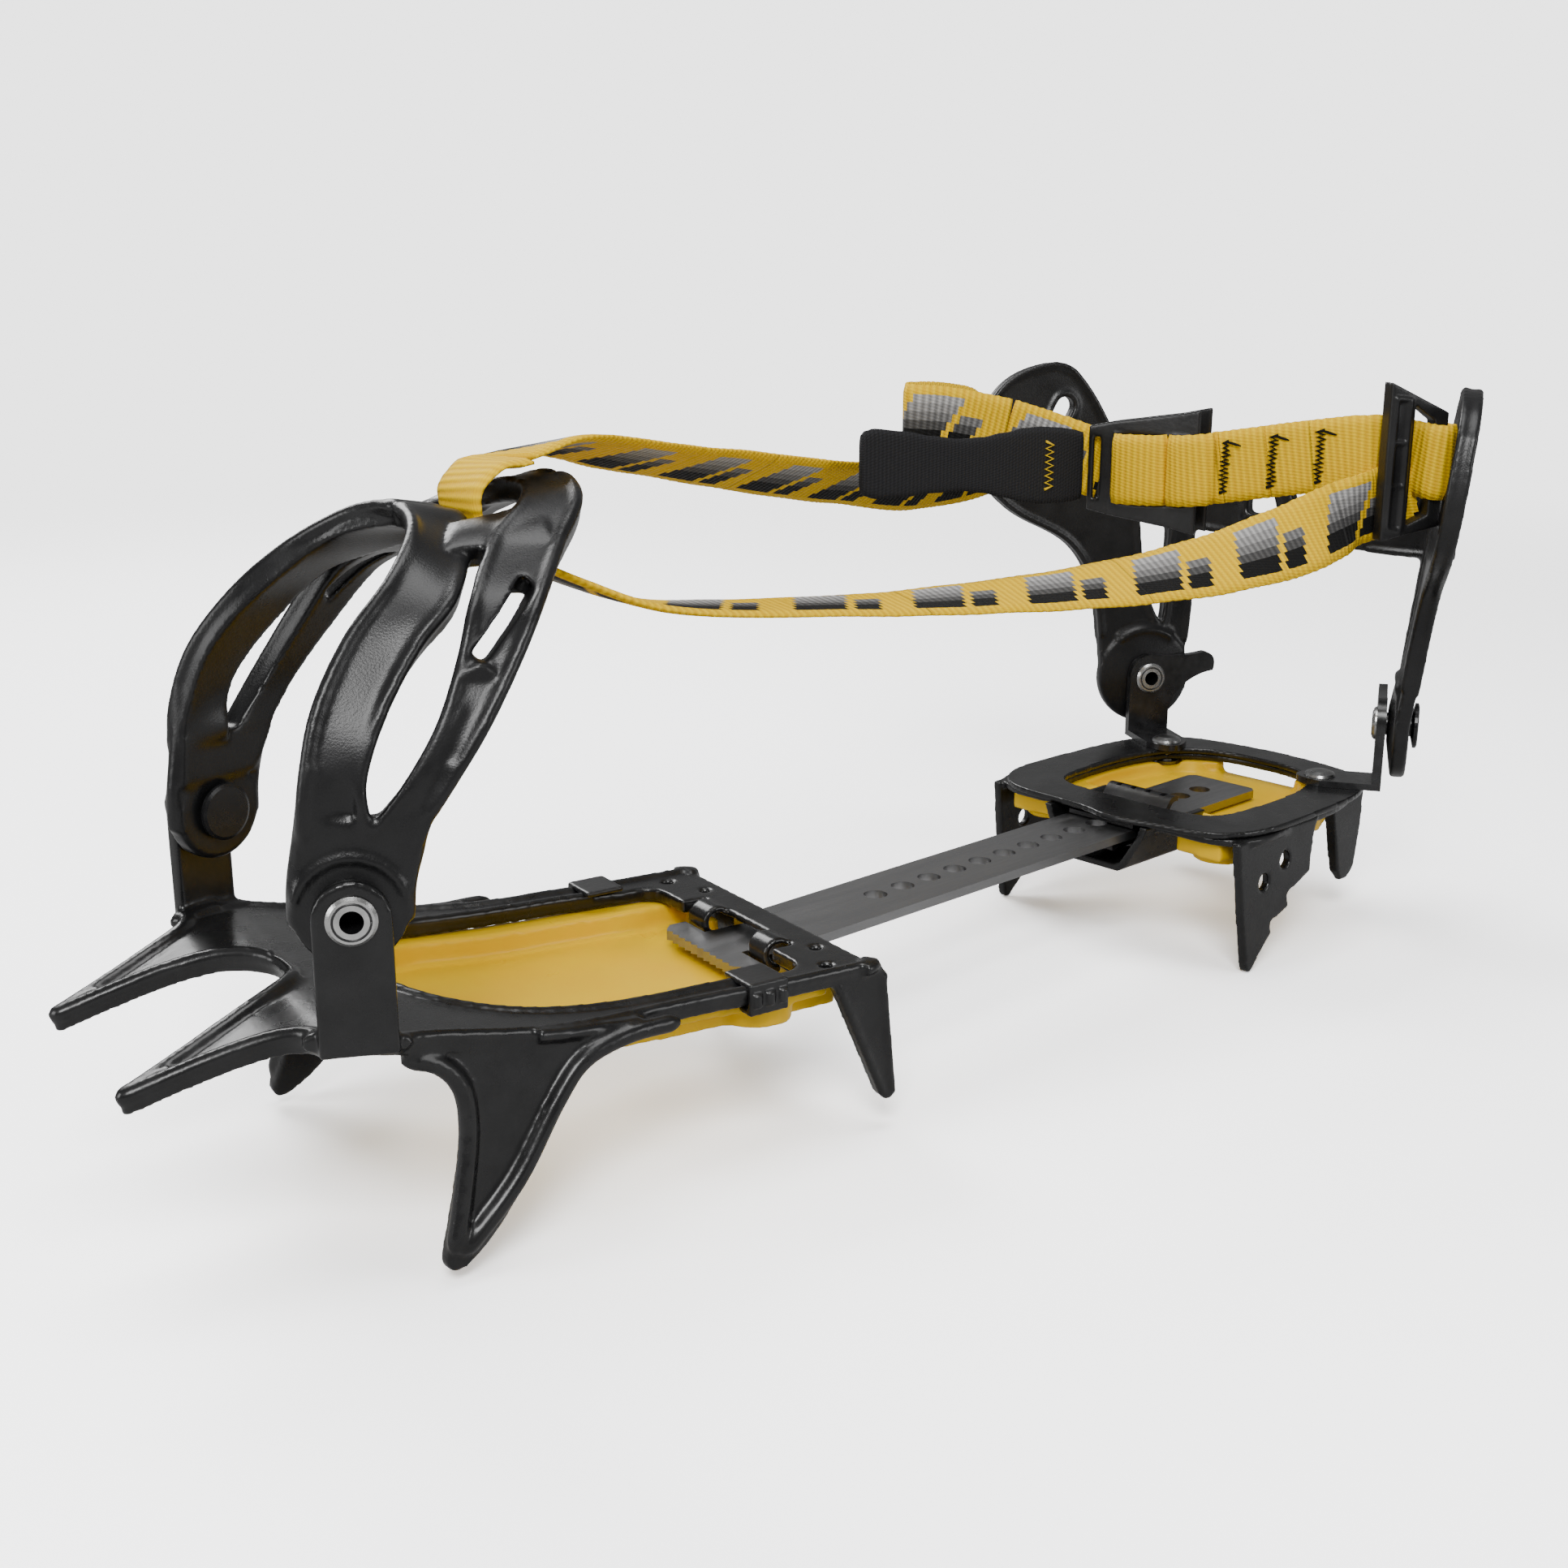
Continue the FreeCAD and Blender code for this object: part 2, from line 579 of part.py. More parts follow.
def heel_rear_point():
    """Rear heel point folded over the corner, tapering to a blunt tip."""
    sections = []
    for z, x_low, x_high, y_mid, half in ((-2.0, 171.0, 186.0, 28.6, 1.5), (-13, 173.4, 184.8, 28.9, 1.5),
                                          (-22.5, 175.4, 183.2, 29.2, 1.3), (-25.6, 177.8, 180.8, 29.3, 0.8)):
        corners = [V(x_low, y_mid - half, z), V(x_high, y_mid - half, z),
                   V(x_high, y_mid + half, z), V(x_low, y_mid + half, z)]
        sections.append(Part.makePolygon(corners + corners[:1]))
    return Part.makeLoft(sections, True, True)


def adjuster_pocket():
    """Channel under the front band that the bar slides through and the adjuster sits in."""
    wall, front, length = 1.8, 113.8, 24.0
    outer = [(15.4, -1.6), (14.2, -4.6), (9.6, -12.6), (7.4, -14.0)]
    inner = [(13.4, -1.6), (12.6, -4.2), (8.1, -11.4), (6.6, -14.0 + wall)]

    def trough(half):
        loop = half + [(-y, z) for y, z in half[::-1]]
        points = [V(front, y, z) for y, z in loop]
        return Part.Face(Part.makePolygon(points + points[:1])).extrude(V(length, 0, 0))

    channel = trough(outer).cut(trough(inner))
    pin = Part.makeCylinder(size("adjuster_pin_radius") + 0.01, 40, V(ADJUSTER_X, -20, ADJUSTER_Z), ACROSS)
    return channel.cut(pin)


ADJUSTER_X, ADJUSTER_Z = 134.0, -8.4


def heel_frame():
    """Lower heel frame: band, four folded points and the adjuster pocket."""
    top = -size("plate_thick") - SEAT_PLAY
    low = top - size("heel_frame_thick")
    band_half = [(118.6, 0), (118.8, 20), (119.4, 31), (122.6, 36.2), (142, 37.2), (160, 36.4),
                 (177, 31.6), (185, 24.6), (188.4, 14), (189.4, 0)]
    band = flat_loop_prism(band_half, low, top).cut(flat_loop_prism(opening_outline(0.8), low - 1, top + 1))
    band = band.cut(Part.makeBox(20, 27.4, 10, V(110, -13.7, low - 5)))
    point_pair = both_sides(heel_front_point()).fuse(both_sides(heel_rear_point()))
    frame = band.fuse(point_pair).fuse(adjuster_pocket())
    rivet = HEEL.at(0, 0, RIVET_OUT)
    for y in (rivet.y, -rivet.y):
        frame = frame.cut(Part.makeCylinder(PLATE_RIVET_SHANK + 0.02, 12, V(rivet.x, y, -8), UP))
    add_feature("heel_frame", frame.removeSplitter())


def heel_lugs():
    """Bent brackets on the heel plate, each with a stop ear behind its eye."""
    half, eye, thick = size("heel_lug_half"), size("heel_pivot_height"), size("heel_lug_thick")
    inner = -2.4 - size("heel_hub_thick") / 2
    runs = [
        [(-half, SEAT_PLAY), (-half, eye)],
        [(-half, eye), (-4.2, eye + 4.6), (0, eye + 6.4)],
        [(0, eye + 6.4), (8, eye + 5.8), (15.6, eye + 6.6)],
        [(15.6, eye + 6.6), (18.0, eye + 5.4), (18.4, eye + 1.3)],
        [(18.4, eye + 1.3), (12.4, eye - 0.6), (7.6, eye - 4.8), (half, eye - 9.5)],
        [(half, eye - 9.5), (half, SEAT_PLAY)],
        [(half, SEAT_PLAY), (-half, SEAT_PLAY)],
    ]
    upright = [[HEEL.at(s, z, inner) for s, z in run] for run in runs]
    lug = closed_face(upright).extrude(HEEL.out * thick)
    foot_runs = [
        [HEEL.at(-half, SEAT_PLAY, inner + thick), HEEL.at(half, SEAT_PLAY, inner + thick)],
        [HEEL.at(half, SEAT_PLAY, inner + thick), HEEL.at(half, SEAT_PLAY, RIVET_OUT)],
        [HEEL.at(half, SEAT_PLAY, RIVET_OUT), HEEL.at(0, SEAT_PLAY, RIVET_OUT - half),
         HEEL.at(-half, SEAT_PLAY, RIVET_OUT)],
        [HEEL.at(-half, SEAT_PLAY, RIVET_OUT), HEEL.at(-half, SEAT_PLAY, inner + thick)],
    ]
    lug = lug.fuse(closed_face(foot_runs).extrude(UP * 1.6))
    eye_hole = Part.makeCylinder(size("rivet_shank_radius") + 0.02, 8, HEEL.at(0, eye, inner - 3), HEEL.out)
    foot_hole = Part.makeCylinder(PLATE_RIVET_SHANK + 0.02, 6, HEEL.at(0, -1, RIVET_OUT), UP)
    add_feature("heel_lugs", apart(lug.cut(eye_hole).cut(foot_hole).removeSplitter()))


def plate_rivets():
    """Domed rivets through bracket foot, ring plate and heel frame."""
    head, shank, seat = 3.9, PLATE_RIVET_SHANK, 1.6 + 2 * SEAT_PLAY
    tail = -size("plate_thick") - 2 * SEAT_PLAY - size("heel_frame_thick")
    profile = [(0, tail - 0.9), (head - 0.8, tail - 0.9), (head - 0.4, tail - SEAT_PLAY), (shank, tail - SEAT_PLAY),
               (shank, seat), (head, seat), (head - 0.3, seat + 0.6), (head - 1.6, seat + 1.2), (0, seat + 1.5)]
    add_feature("plate_rivets", apart(turned(profile, HEEL.at(0, 0, RIVET_OUT), UP)))


def heel_rivets():
    inner = -2.4 - size("heel_hub_thick") / 2
    base = HEEL.at(0, size("heel_pivot_height"), inner)
    start = size("heel_lug_thick") + HUB_GAP
    add_feature("heel_rivets", apart(eyelet(base, HEEL.out, start, size("heel_hub_thick"), 5.6)))


def heel_antiball_plate():
    """Dished plastic plate below the heel frame."""
    top = -size("plate_thick") - 2 * SEAT_PLAY - size("heel_frame_thick") - 0.05
    rim_half = [(139, 0), (139, 12), (137, 17), (121.4, 18.6), (121.0, 31.4), (141, 34.2), (160, 33.4),
                (169.4, 29.6), (170.2, 26.4), (182, 22.4), (185.6, 13), (186, 0)]
    runs = [list(pair) for pair in zip(rim_half, rim_half[1:] + rim_half[:1])]

    def layer(low, high, keep):
        flat = [[(x, y, low) for x, y in run] for run in keep]
        return closed_face(flat).extrude(UP * (high - low))

    plate = layer(-7.8, top, runs)
    hollow = [[(141, -1), (141, 24)], [(141, 24), (160, 24.6), (172, 21), (180.4, 14.6), (183, -1)],
              [(183, -1), (141, -1)]]
    plate = plate.cut(layer(-6.4, 0, hollow))
    plate = plate.cut(Part.makeBox(60, 11.6, 10, V(138, 0, -6.4)))
    for x, y in ((129.5, 25.5), (176, 20.2)):
        bump = Part.makeCylinder(6.2, 3.0, V(x, y, -9.6), UP)
        plate = plate.fuse(bump)
    shank_well = Part.makeCylinder(4.4, 6, HEEL.at(0, -5.2, RIVET_OUT), UP)
    add_feature("heel_antiball_plate", both_sides(plate.cut(shank_well)))


def adjuster_cover():
    """Pressed cover between the bar and the front band, with a hump behind the band."""
    low = size("bar_top") + 0.25
    runs = [
        [(116.4, low), (127.8, low)],
        [(127.8, low), (130.0, low + 0.4), (131.6, low + 2.6), (134.2, low + 3.4)],
        [(134.2, low + 3.4), (134.4, low + 4.4)],
        [(134.4, low + 4.4), (130.8, low + 3.9), (128.8, low + 1.6), (127.0, low + 1.0)],
        [(127.0, low + 1.0), (116.4, low + 1.0)],
        [(116.4, low + 1.0), (116.4, low)],
    ]
    reach = 9.6
    cover = closed_face(side_runs(runs, -reach)).extrude(ACROSS * (2 * reach))
    for i in range(4):
        y = -6.6 + 4.4 * i
        cover = cover.cut(Part.makeBox(2.2, 1.4, 8, V(131.6, y - 0.7, low)))
    add_feature("adjuster_cover", cover)


def adjuster_lever():
    """Spring lever below the bar; its peg drops into one hole of the bar."""
    half, thick, front = 6.0, 1.0, 114.6
    pin, peg_x = size("adjuster_pin_radius"), size("hole_first") + 10 * size("hole_pitch")
    lever = Part.makeBox(ADJUSTER_X - front, 2 * half, thick, V(front, -half, ADJUSTER_Z - thick / 2))
    lever = lever.fuse(Part.makeCylinder(pin + 1.2, 2 * half, V(ADJUSTER_X, -half, ADJUSTER_Z), ACROSS))
    lever = lever.fuse(Part.makeCylinder(1.9, 4.2, V(peg_x, 0, ADJUSTER_Z), UP))
    thumb = Part.makeCylinder(1.0, 2 * half, V(front, -half, ADJUSTER_Z), ACROSS)
    eye = Part.makeCylinder(pin + size("running_play"), 40, V(ADJUSTER_X, -20, ADJUSTER_Z), ACROSS)
    add_feature("adjuster_lever", lever.fuse(thumb).cut(eye).removeSplitter())


def adjuster_pin():
    """Pin the adjuster lever turns on, held in the walls of the pocket."""
    pin = doc.addObject("Part::Cylinder", "adjuster_pin")
    pin.Label = "adjuster_pin"
    pin.setExpression("Radius", f"{sheet.Name}.adjuster_pin_radius")
    pin.setExpression("Height", f"{sheet.Name}.adjuster_pin_length")
    start = V(ADJUSTER_X, -size("adjuster_pin_length") / 2, ADJUSTER_Z)
    pin.Placement = FreeCAD.Placement(start, FreeCAD.Rotation(UP, ACROSS))
    sub_parts.append(pin)


def adjuster_spring():
    """Leaf spring that lifts the adjuster lever."""
    thick, width, floor = 0.5, 7.0, -12.0
    runs = [
        [(131.5, floor), (127, floor + 0.3), (122, floor + 1.3), (118.4, floor + 2.4)],
        [(118.4, floor + 2.4), (118.2, floor + 2.4 + thick)],
        [(118.2, floor + 2.4 + thick), (122, floor + 1.3 + thick), (127, floor + 0.3 + thick),
         (131.5, floor + thick)],
        [(131.5, floor + thick), (131.5, floor)],
    ]
    add_feature("adjuster_spring", closed_face(side_runs(runs, -width / 2)).extrude(ACROSS * width))


def arm_point(s, z, shift=0.0):
    """A point on the heel cradle's arm, which leans out a little towards its top."""
    return HEEL.at(s, z, 0.7 + 0.1 * (z - size("heel_pivot_height")) + shift)


def cradle_arm():
    """Far arm: hub, wide fin that rises to a peak, and thin rear limb."""
    thick = size("cradle_thick")
    eye = size("heel_pivot_height")
    start = HUB_GAP - size("heel_hub_thick") / 2 - HUB_GAP
    arm = hub(HEEL.at(0, eye), HEEL.out, size("heel_hub_radius"), start, size("heel_hub_thick"))
    fin_runs = [
        [(-12.6, 19), (-13.2, 27), (-14.3, 37), (-17.2, 46), (-23, 53.4), (-32.5, 58.6), (-41.0, 64.2)],
        [(-41.0, 64.2), (-45.4, 70), (-46.4, 80), (-43.8, 91.2)],
        [(-43.8, 91.2), (-39, 96.2), (-31, 99.6), (-25, 100.2), (-20, 98)],
        [(-20, 98), (-14.6, 91), (-10.2, 83), (-6.0, 74), (-2.6, 64), (-1.6, 54), (-0.4, 44), (1.4, 36.4), (4.2, 30.6)],
        [(4.2, 30.6), (6.0, 24)],
        [(6.0, 24), (-12.6, 19)],
    ]
    limb_runs = [
        [(2.6, 26), (5.4, 32), (6.0, 42), (7.1, 55), (7.4, 66), (6.6, 73)],
        [(6.6, 73), (14.6, 73)],
        [(14.6, 73), (14.6, 64), (14.4, 55), (14.0, 44), (13.4, 33), (12.0, 22)],
        [(12.0, 22), (2.6, 26)],
    ]
    lean = (HEEL.out * 0.1 + UP)
    for runs in (fin_runs, limb_runs):
        flat = [[arm_point(s, z, -thick / 2) for s, z in run] for run in runs]
        arm = arm.fuse(closed_face(flat).extrude(HEEL.out * thick - UP * (0.1 * thick)))
    return arm.cut(peak_slot(lean))


def peak_slot(lean):
    """Slanted slot below the peak for the webbing."""
    top, bottom, half = (-23.4, 89.0), (-31.4, 73.6), 2.6
    dx, dz = top[0] - bottom[0], top[1] - bottom[1]
    length = math.hypot(dx, dz)
    side = (-dz / length * half, dx / length * half)
    reach = 9
    corners = [(top[0] + side[0], top[1] + side[1]), (top[0] - side[0], top[1] - side[1]),
               (bottom[0] - side[0], bottom[1] - side[1]), (bottom[0] + side[0], bottom[1] + side[1])]
    points = [arm_point(s, z, -reach) for s, z in corners]
    slot = Part.Face(Part.makePolygon(points + points[:1])).extrude(HEEL.out * (2 * reach))
    for s, z in (top, bottom):
        slot = slot.fuse(Part.makeCylinder(half, 2 * reach, arm_point(s, z, -reach), HEEL.out))
    return slot


def heel_band():
    """Far half of the band behind the heel, with its truss openings."""
    stations = []
    for x, y, low, high in ((190.2, 44.2, 57.5, 71.5), (194.6, 40.2, 56.4, 72.8), (198.8, 33, 55.4, 73.2),
                            (202.4, 24, 54.6, 73.2), (204.6, 12, 54.2, 73.2), (205.2, 0, 54.0, 73.2)):
        stations.append(((x, y, low), (x + 1.2, y, high)))
    band = blade(stations, 3.0)
    openings = [[(3, 60.4), (3, 70), (10.6, 70), (7.0, 60.4)], [(11.4, 60.4), (15, 70), (21.5, 70), (21.5, 60.4)]]
    for corners in openings:
        points = [V(190, y, z) for y, z in corners]
        band = band.cut(Part.Face(Part.makePolygon(points + points[:1])).extrude(V(30, 0, 0)))
    return band


def heel_cradle():
    """One moulded piece: two arms joined by the band behind the heel."""
    cradle = both_sides(cradle_arm().fuse(heel_band()))
    bore = size("rivet_shank_radius") + size("rivet_play")
    for mirror in (1, -1):
        base, axis = HEEL.at(0, size("heel_pivot_height"), -8), HEEL.out
        base, axis = V(base.x, base.y * mirror, base.z), V(axis.x, axis.y * mirror, 0)
        cradle = cradle.cut(Part.makeCylinder(bore, 16, base, axis))
    add_feature("heel_cradle", cradle)


# ---------------------------------------------------------------- straps and buckle


def ring_frame(corners_out, corners_in, thick):
    """A flat four-sided ring centred on its own plane."""
    outer = Part.Face(Part.makePolygon(corners_out + corners_out[:1]))
    inner = Part.Face(Part.makePolygon(corners_in + corners_in[:1]))
    face = outer.cut(inner)
    normal = outer.normalAt(0, 0)
    face.translate(normal * (-thick / 2))
    return face.extrude(normal * thick)


RING_NEAR, RING_FAR = V(149.5, -51.2, 84.2), V(157.8, -56.2, 83.0)


def strap_ring():
    """Plastic ring on the near side that both straps pass through."""
    along = RING_FAR - RING_NEAR
    along.normalize()
    near_half, far_half, bar = 17.6, 12.6, 3.0
    outer = [RING_NEAR - along * bar - UP * near_half, RING_NEAR - along * bar + UP * near_half,
             RING_FAR + along * 1.6 + UP * far_half, RING_FAR + along * 1.6 - UP * far_half]
    inner = [RING_NEAR + along * bar - UP * (near_half - 4.2), RING_NEAR + along * bar + UP * (near_half - 4.2),
             RING_FAR - along * 1.6 + UP * (far_half - 2.2), RING_FAR - along * 1.6 - UP * (far_half - 2.2)]
    add_feature("strap_ring", ring_frame(outer, inner, 4.0))


BUCKLE_LEFT, BUCKLE_RIGHT = V(131.0, 19.0, 79.0), V(138.4, -8.8, 79.6)


def buckle_ring(shift, flare):
    """One stamped ring of the double buckle: slotted at its left, open to the right."""
    along = BUCKLE_RIGHT - BUCKLE_LEFT
    along.normalize()
    side = along.cross(UP)
    side.normalize()
    origin = BUCKLE_LEFT + side * shift
    low, high, length = 8.6, 14.6, 28.5

    def place(u, v, w):
        return origin + along * u + UP * v + side * (w + flare * (u / length) ** 2)

    outline = [(0, low + 1.4), (6, low + 2.6), (length - 6, high - 1.2), (length, high)]
    sections = []
    for u, half in outline:
        corners = [place(u, -half, -0.6), place(u, half, -0.6), place(u, half, 0.6), place(u, -half, 0.6)]
        sections.append(Part.makePolygon(corners + corners[:1]))
    plate = Part.makeLoft(sections, True, True)
    for start, end, half in ((1.4, 3.2, low - 1.2), (8.0, length - 2.8, low + 0.2)):
        corners = [place(start, -half, -8), place(end, -half, -8), place(end, half, -8), place(start, half, -8)]
        window = Part.Face(Part.makePolygon(corners + corners[:1])).extrude(side * 20)
        plate = plate.cut(window)
    return plate


def buckle():
    add_feature("buckle_front_ring", buckle_ring(1.5, 2.4))
    add_feature("buckle_rear_ring", buckle_ring(-1.5, -2.4))


def pull_tab():
    """Waisted webbing tab sewn to the slot of the front buckle ring."""
    stations = []
    start, end = V(127.4, 19.2, 79.6), V(53.2, 24.0, 85.2)
    for share, half in ((0, 8.2), (0.12, 8.9), (0.3, 9.0), (0.5, 6.6), (0.62, 5.8), (0.8, 6.9), (0.95, 7.6), (1, 6.4)):
        middle = start + (end - start) * share + V(0, -1.6 * math.sin(math.pi * share), 0)
        stations.append((middle - UP * half, middle + UP * half))
    add_feature("pull_tab", blade(stations, size("tab_thick")))


def ribbon(stations):
    """Webbing through stations of (x, y, z, lean): lean 0 is upright, 90 lies flat."""
    half = size("strap_width") / 2
    middles = [V(x, y, z) for x, y, z, lean in stations]
    pairs = []
    for i, (x, y, z, lean) in enumerate(stations):
        ahead = middles[min(i + 1, len(middles) - 1)] - middles[max(i - 1, 0)]
        level = V(-ahead.y, ahead.x, 0)
        level.normalize()
        tilt = math.radians(lean)
        width = (UP * math.cos(tilt) + level * math.sin(tilt)) * half
        pairs.append((middles[i] - width, middles[i] + width))
    return blade(pairs, size("strap_thick"), True)


def straps():
    near = [(145.5, -46.0, 73.8, 5), (135, -44.6, 71.4, -18), (123.4, -42.6, 68.6, -35), (103, -37.9, 65.3, -55),
            (83, -31.6, 63.4, -66), (63, -25.8, 62.8, -74), (44, -20.4, 63.0, -80), (26, -15.4, 63.5, -85),
            (8, -10.6, 64.7, -88), (-9, -6.2, 66.0, -90), (-25, -1.6, 68.2, -94), (-39.5, 3.4, 74.0, -98),
            (-47.0, 7.2, 80.0, -102)]
    add_feature("near_strap", ribbon(near))
    far = [(-34.5, 13.6, 98.4, -78), (-24, 16.8, 95.4, -74), (-12, 20, 92.8, -70), (3, 24.5, 90.0, -68),
           (23, 29, 86.4, -62), (47, 34, 82.0, -58), (70, 39, 78.4, -54), (104, 46.4, 74.4, -40),
           (134, 52.6, 76.0, -20), (157.5, 57.4, 79.4, -6)]
    add_feature("far_strap", ribbon(far))
    loop = [(150.6, 72.6, 84.0, 0), (140, 67.4, 86.6, 0), (118, 57.6, 89.4, 0), (101, 50.8, 90.7, 0),
            (96.2, 47.6, 90.7, 0), (97.4, 44.2, 90.6, 0), (104, 40.4, 89.8, 0), (116, 33.6, 87.0, 0),
            (125, 26.6, 83.6, 0)]
    add_feature("ankle_loop", ribbon(loop))
    short = [(141.4, -19.6, 83.0, 4), (144.4, -30.8, 84.4, 2), (147.6, -41.2, 85.9, 0), (148.8, -45.4, 86.4, 0)]
    add_feature("buckle_strap", ribbon(short))


# ---------------------------------------------------------------- build and write


def build():
    front_frame()
    front_antiball_plate()
    rail_clips()
    toe_rivets()
    toe_cage()
    link_bar()
    heel_ring_plate()
    heel_frame()
    heel_lugs()
    plate_rivets()
    heel_rivets()
    heel_antiball_plate()
    adjuster_cover()
    adjuster_lever()
    adjuster_pin()
    adjuster_spring()
    heel_cradle()
    strap_ring()
    buckle()
    pull_tab()
    straps()
    doc.recompute()


def check_and_write():
    os.makedirs("parts", exist_ok=True)
    for item in doc.Objects:
        if "Invalid" in item.State or "Error" in item.State:
            raise RuntimeError(f"{item.Label} did not recompute")
    for part in sub_parts:
        if part.Shape.isNull() or not part.Shape.isValid():
            raise RuntimeError(f"{part.Label} has no valid shape")
    for part in sub_parts:
        part.Shape.exportStep(os.path.join("parts", part.Label + ".step"))
        solids = len(part.Shape.Solids)
        print(f"{part.Label}: {solids} solids, {part.Shape.Volume:.0f} mm3, {part.Shape.BoundBox}")


build()
check_and_write()
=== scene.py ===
import math
import random

import bmesh
import bpy
from mathutils import Matrix, Vector


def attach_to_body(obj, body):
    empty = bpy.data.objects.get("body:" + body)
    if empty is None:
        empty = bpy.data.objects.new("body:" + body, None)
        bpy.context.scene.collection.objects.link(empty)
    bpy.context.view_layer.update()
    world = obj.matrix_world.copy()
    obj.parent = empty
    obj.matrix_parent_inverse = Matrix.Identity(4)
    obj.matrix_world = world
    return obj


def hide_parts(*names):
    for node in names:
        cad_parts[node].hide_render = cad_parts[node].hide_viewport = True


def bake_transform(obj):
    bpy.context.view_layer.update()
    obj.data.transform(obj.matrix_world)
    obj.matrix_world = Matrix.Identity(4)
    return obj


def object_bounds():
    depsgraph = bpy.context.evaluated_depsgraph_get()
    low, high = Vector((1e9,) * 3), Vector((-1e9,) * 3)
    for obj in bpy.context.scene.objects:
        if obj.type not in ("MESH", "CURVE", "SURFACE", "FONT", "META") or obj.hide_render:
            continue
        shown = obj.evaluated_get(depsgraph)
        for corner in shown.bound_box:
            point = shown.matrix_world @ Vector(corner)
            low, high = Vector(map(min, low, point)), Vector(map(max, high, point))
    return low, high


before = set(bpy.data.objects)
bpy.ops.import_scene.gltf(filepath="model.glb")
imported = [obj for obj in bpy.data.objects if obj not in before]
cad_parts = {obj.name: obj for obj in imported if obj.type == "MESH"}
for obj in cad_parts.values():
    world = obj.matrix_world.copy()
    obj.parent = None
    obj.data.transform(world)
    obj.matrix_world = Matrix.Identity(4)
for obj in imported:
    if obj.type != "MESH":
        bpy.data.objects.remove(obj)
first_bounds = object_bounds()
MM = 0.001
FRONT_TURN = math.radians(-9.25)
TURN = Matrix.Rotation(FRONT_TURN, 4, "Z")
random.seed(7)


# ---------------------------------------------------------------- shader helpers

class Shader:
    """A material built from chained nodes."""

    def __init__(self, name):
        self.material = bpy.data.materials.new(name)
        self.material.use_nodes = True
        self.tree = self.material.node_tree
        self.bsdf = self.tree.nodes["Principled BSDF"]

    def link(self, a, b):
        self.tree.links.new(a, b)

    def math(self, op, a, b=None, clamp=False):
        n = self.tree.nodes.new("ShaderNodeMath")
        n.operation = op
        n.use_clamp = clamp
        for i, value in enumerate((a, b)):
            if value is None:
                continue
            if isinstance(value, (int, float)):
                n.inputs[i].default_value = value
            else:
                self.link(value, n.inputs[i])
        return n.outputs[0]

    def mix(self, share, a, b):
        n = self.tree.nodes.new("ShaderNodeMix")
        n.data_type = "RGBA"
        for i, value in ((0, share), (6, a), (7, b)):
            if isinstance(value, (int, float, tuple)):
                n.inputs[i].default_value = value if isinstance(value, (int, float)) else (*value[:3], 1.0)
            else:
                self.link(value, n.inputs[i])
        return n.outputs[2]

    def noise(self, scale, detail=4.0, rough=0.55, stretch=None):
        coords = self.tree.nodes.new("ShaderNodeTexCoord").outputs["Object"]
        if stretch:
            m = self.tree.nodes.new("ShaderNodeMapping")
            m.inputs["Scale"].default_value = stretch
            self.link(coords, m.inputs["Vector"])
            coords = m.outputs[0]
        n = self.tree.nodes.new("ShaderNodeTexNoise")
        n.inputs["Scale"].default_value = scale
        n.inputs["Detail"].default_value = detail
        n.inputs["Roughness"].default_value = rough
        self.link(coords, n.inputs["Vector"])
        return n.outputs["Fac"]

    def map_range(self, value, start, end, low=0.0, high=1.0):
        n = self.tree.nodes.new("ShaderNodeMapRange")
        for key, number in (("From Min", start), ("From Max", end), ("To Min", low), ("To Max", high)):
            n.inputs[key].default_value = number
        self.link(value, n.inputs["Value"])
        return n.outputs[0]

    def spread(self, value, low, high):
        """A noise value, which stays mostly between 0.3 and 0.7, spread over low to high."""
        return self.map_range(value, 0.3, 0.7, low, high)

    def bump(self, height, strength, distance):
        n = self.tree.nodes.new("ShaderNodeBump")
        n.inputs["Strength"].default_value = strength
        n.inputs["Distance"].default_value = distance
        self.link(height, n.inputs["Height"])
        self.link(n.outputs[0], self.bsdf.inputs["Normal"])

    def set(self, name, value):
        socket = self.bsdf.inputs[name]
        if isinstance(value, (int, float)):
            socket.default_value = value
        elif isinstance(value, tuple):
            socket.default_value = (*value, 1.0)[:len(socket.default_value)]
        else:
            self.link(value, socket)


def painted_steel(name, color, rough, edge_highlight=0.0):
    """Painted steel: fine orange peel, uneven gloss, and a painted highlight that lightens sharp edges in
    patches.
    """
    s = Shader(name)
    mottled = s.noise(160.0)
    base = s.mix(s.spread(mottled, 0.0, 1.0), color, tuple(min(1.0, c * 1.7 + 0.004) for c in color))
    if edge_highlight:
        # painted highlight: sharp edges, found by pointiness, turn lighter grey in noisy patches
        edges = s.tree.nodes.new("ShaderNodeNewGeometry").outputs["Pointiness"]
        highlight_patches = s.math("MULTIPLY", s.spread(s.noise(420.0), 0.0, 1.0), edge_highlight)
        highlit_edges = s.math("MULTIPLY", s.map_range(edges, 0.54, 0.62), highlight_patches, True)
        base = s.mix(highlit_edges, base, (0.10, 0.10, 0.105))
    s.set("Base Color", base)
    s.set("Roughness", s.spread(s.noise(90.0), rough - 0.06, rough + 0.08))
    s.set("Specular IOR Level", 0.42)
    s.set("Coat Weight", 0.12)
    s.set("Coat Roughness", 0.16)
    s.bump(s.noise(900.0, 3.0), 0.10, 0.0004)
    return s.material


def moulded_plastic(name, color, rough):
    """Moulded nylon with a fine spark-eroded grain."""
    s = Shader(name)
    paler = tuple(c * 1.5 + 0.003 for c in color)
    s.set("Base Color", s.mix(s.spread(s.noise(120.0), 0.0, 1.0), color, paler))
    s.set("Roughness", s.spread(s.noise(60.0), rough - 0.05, rough + 0.08))
    s.set("Specular IOR Level", 0.40)
    s.bump(s.noise(2600.0, 2.0), 0.14, 0.0003)
    return s.material


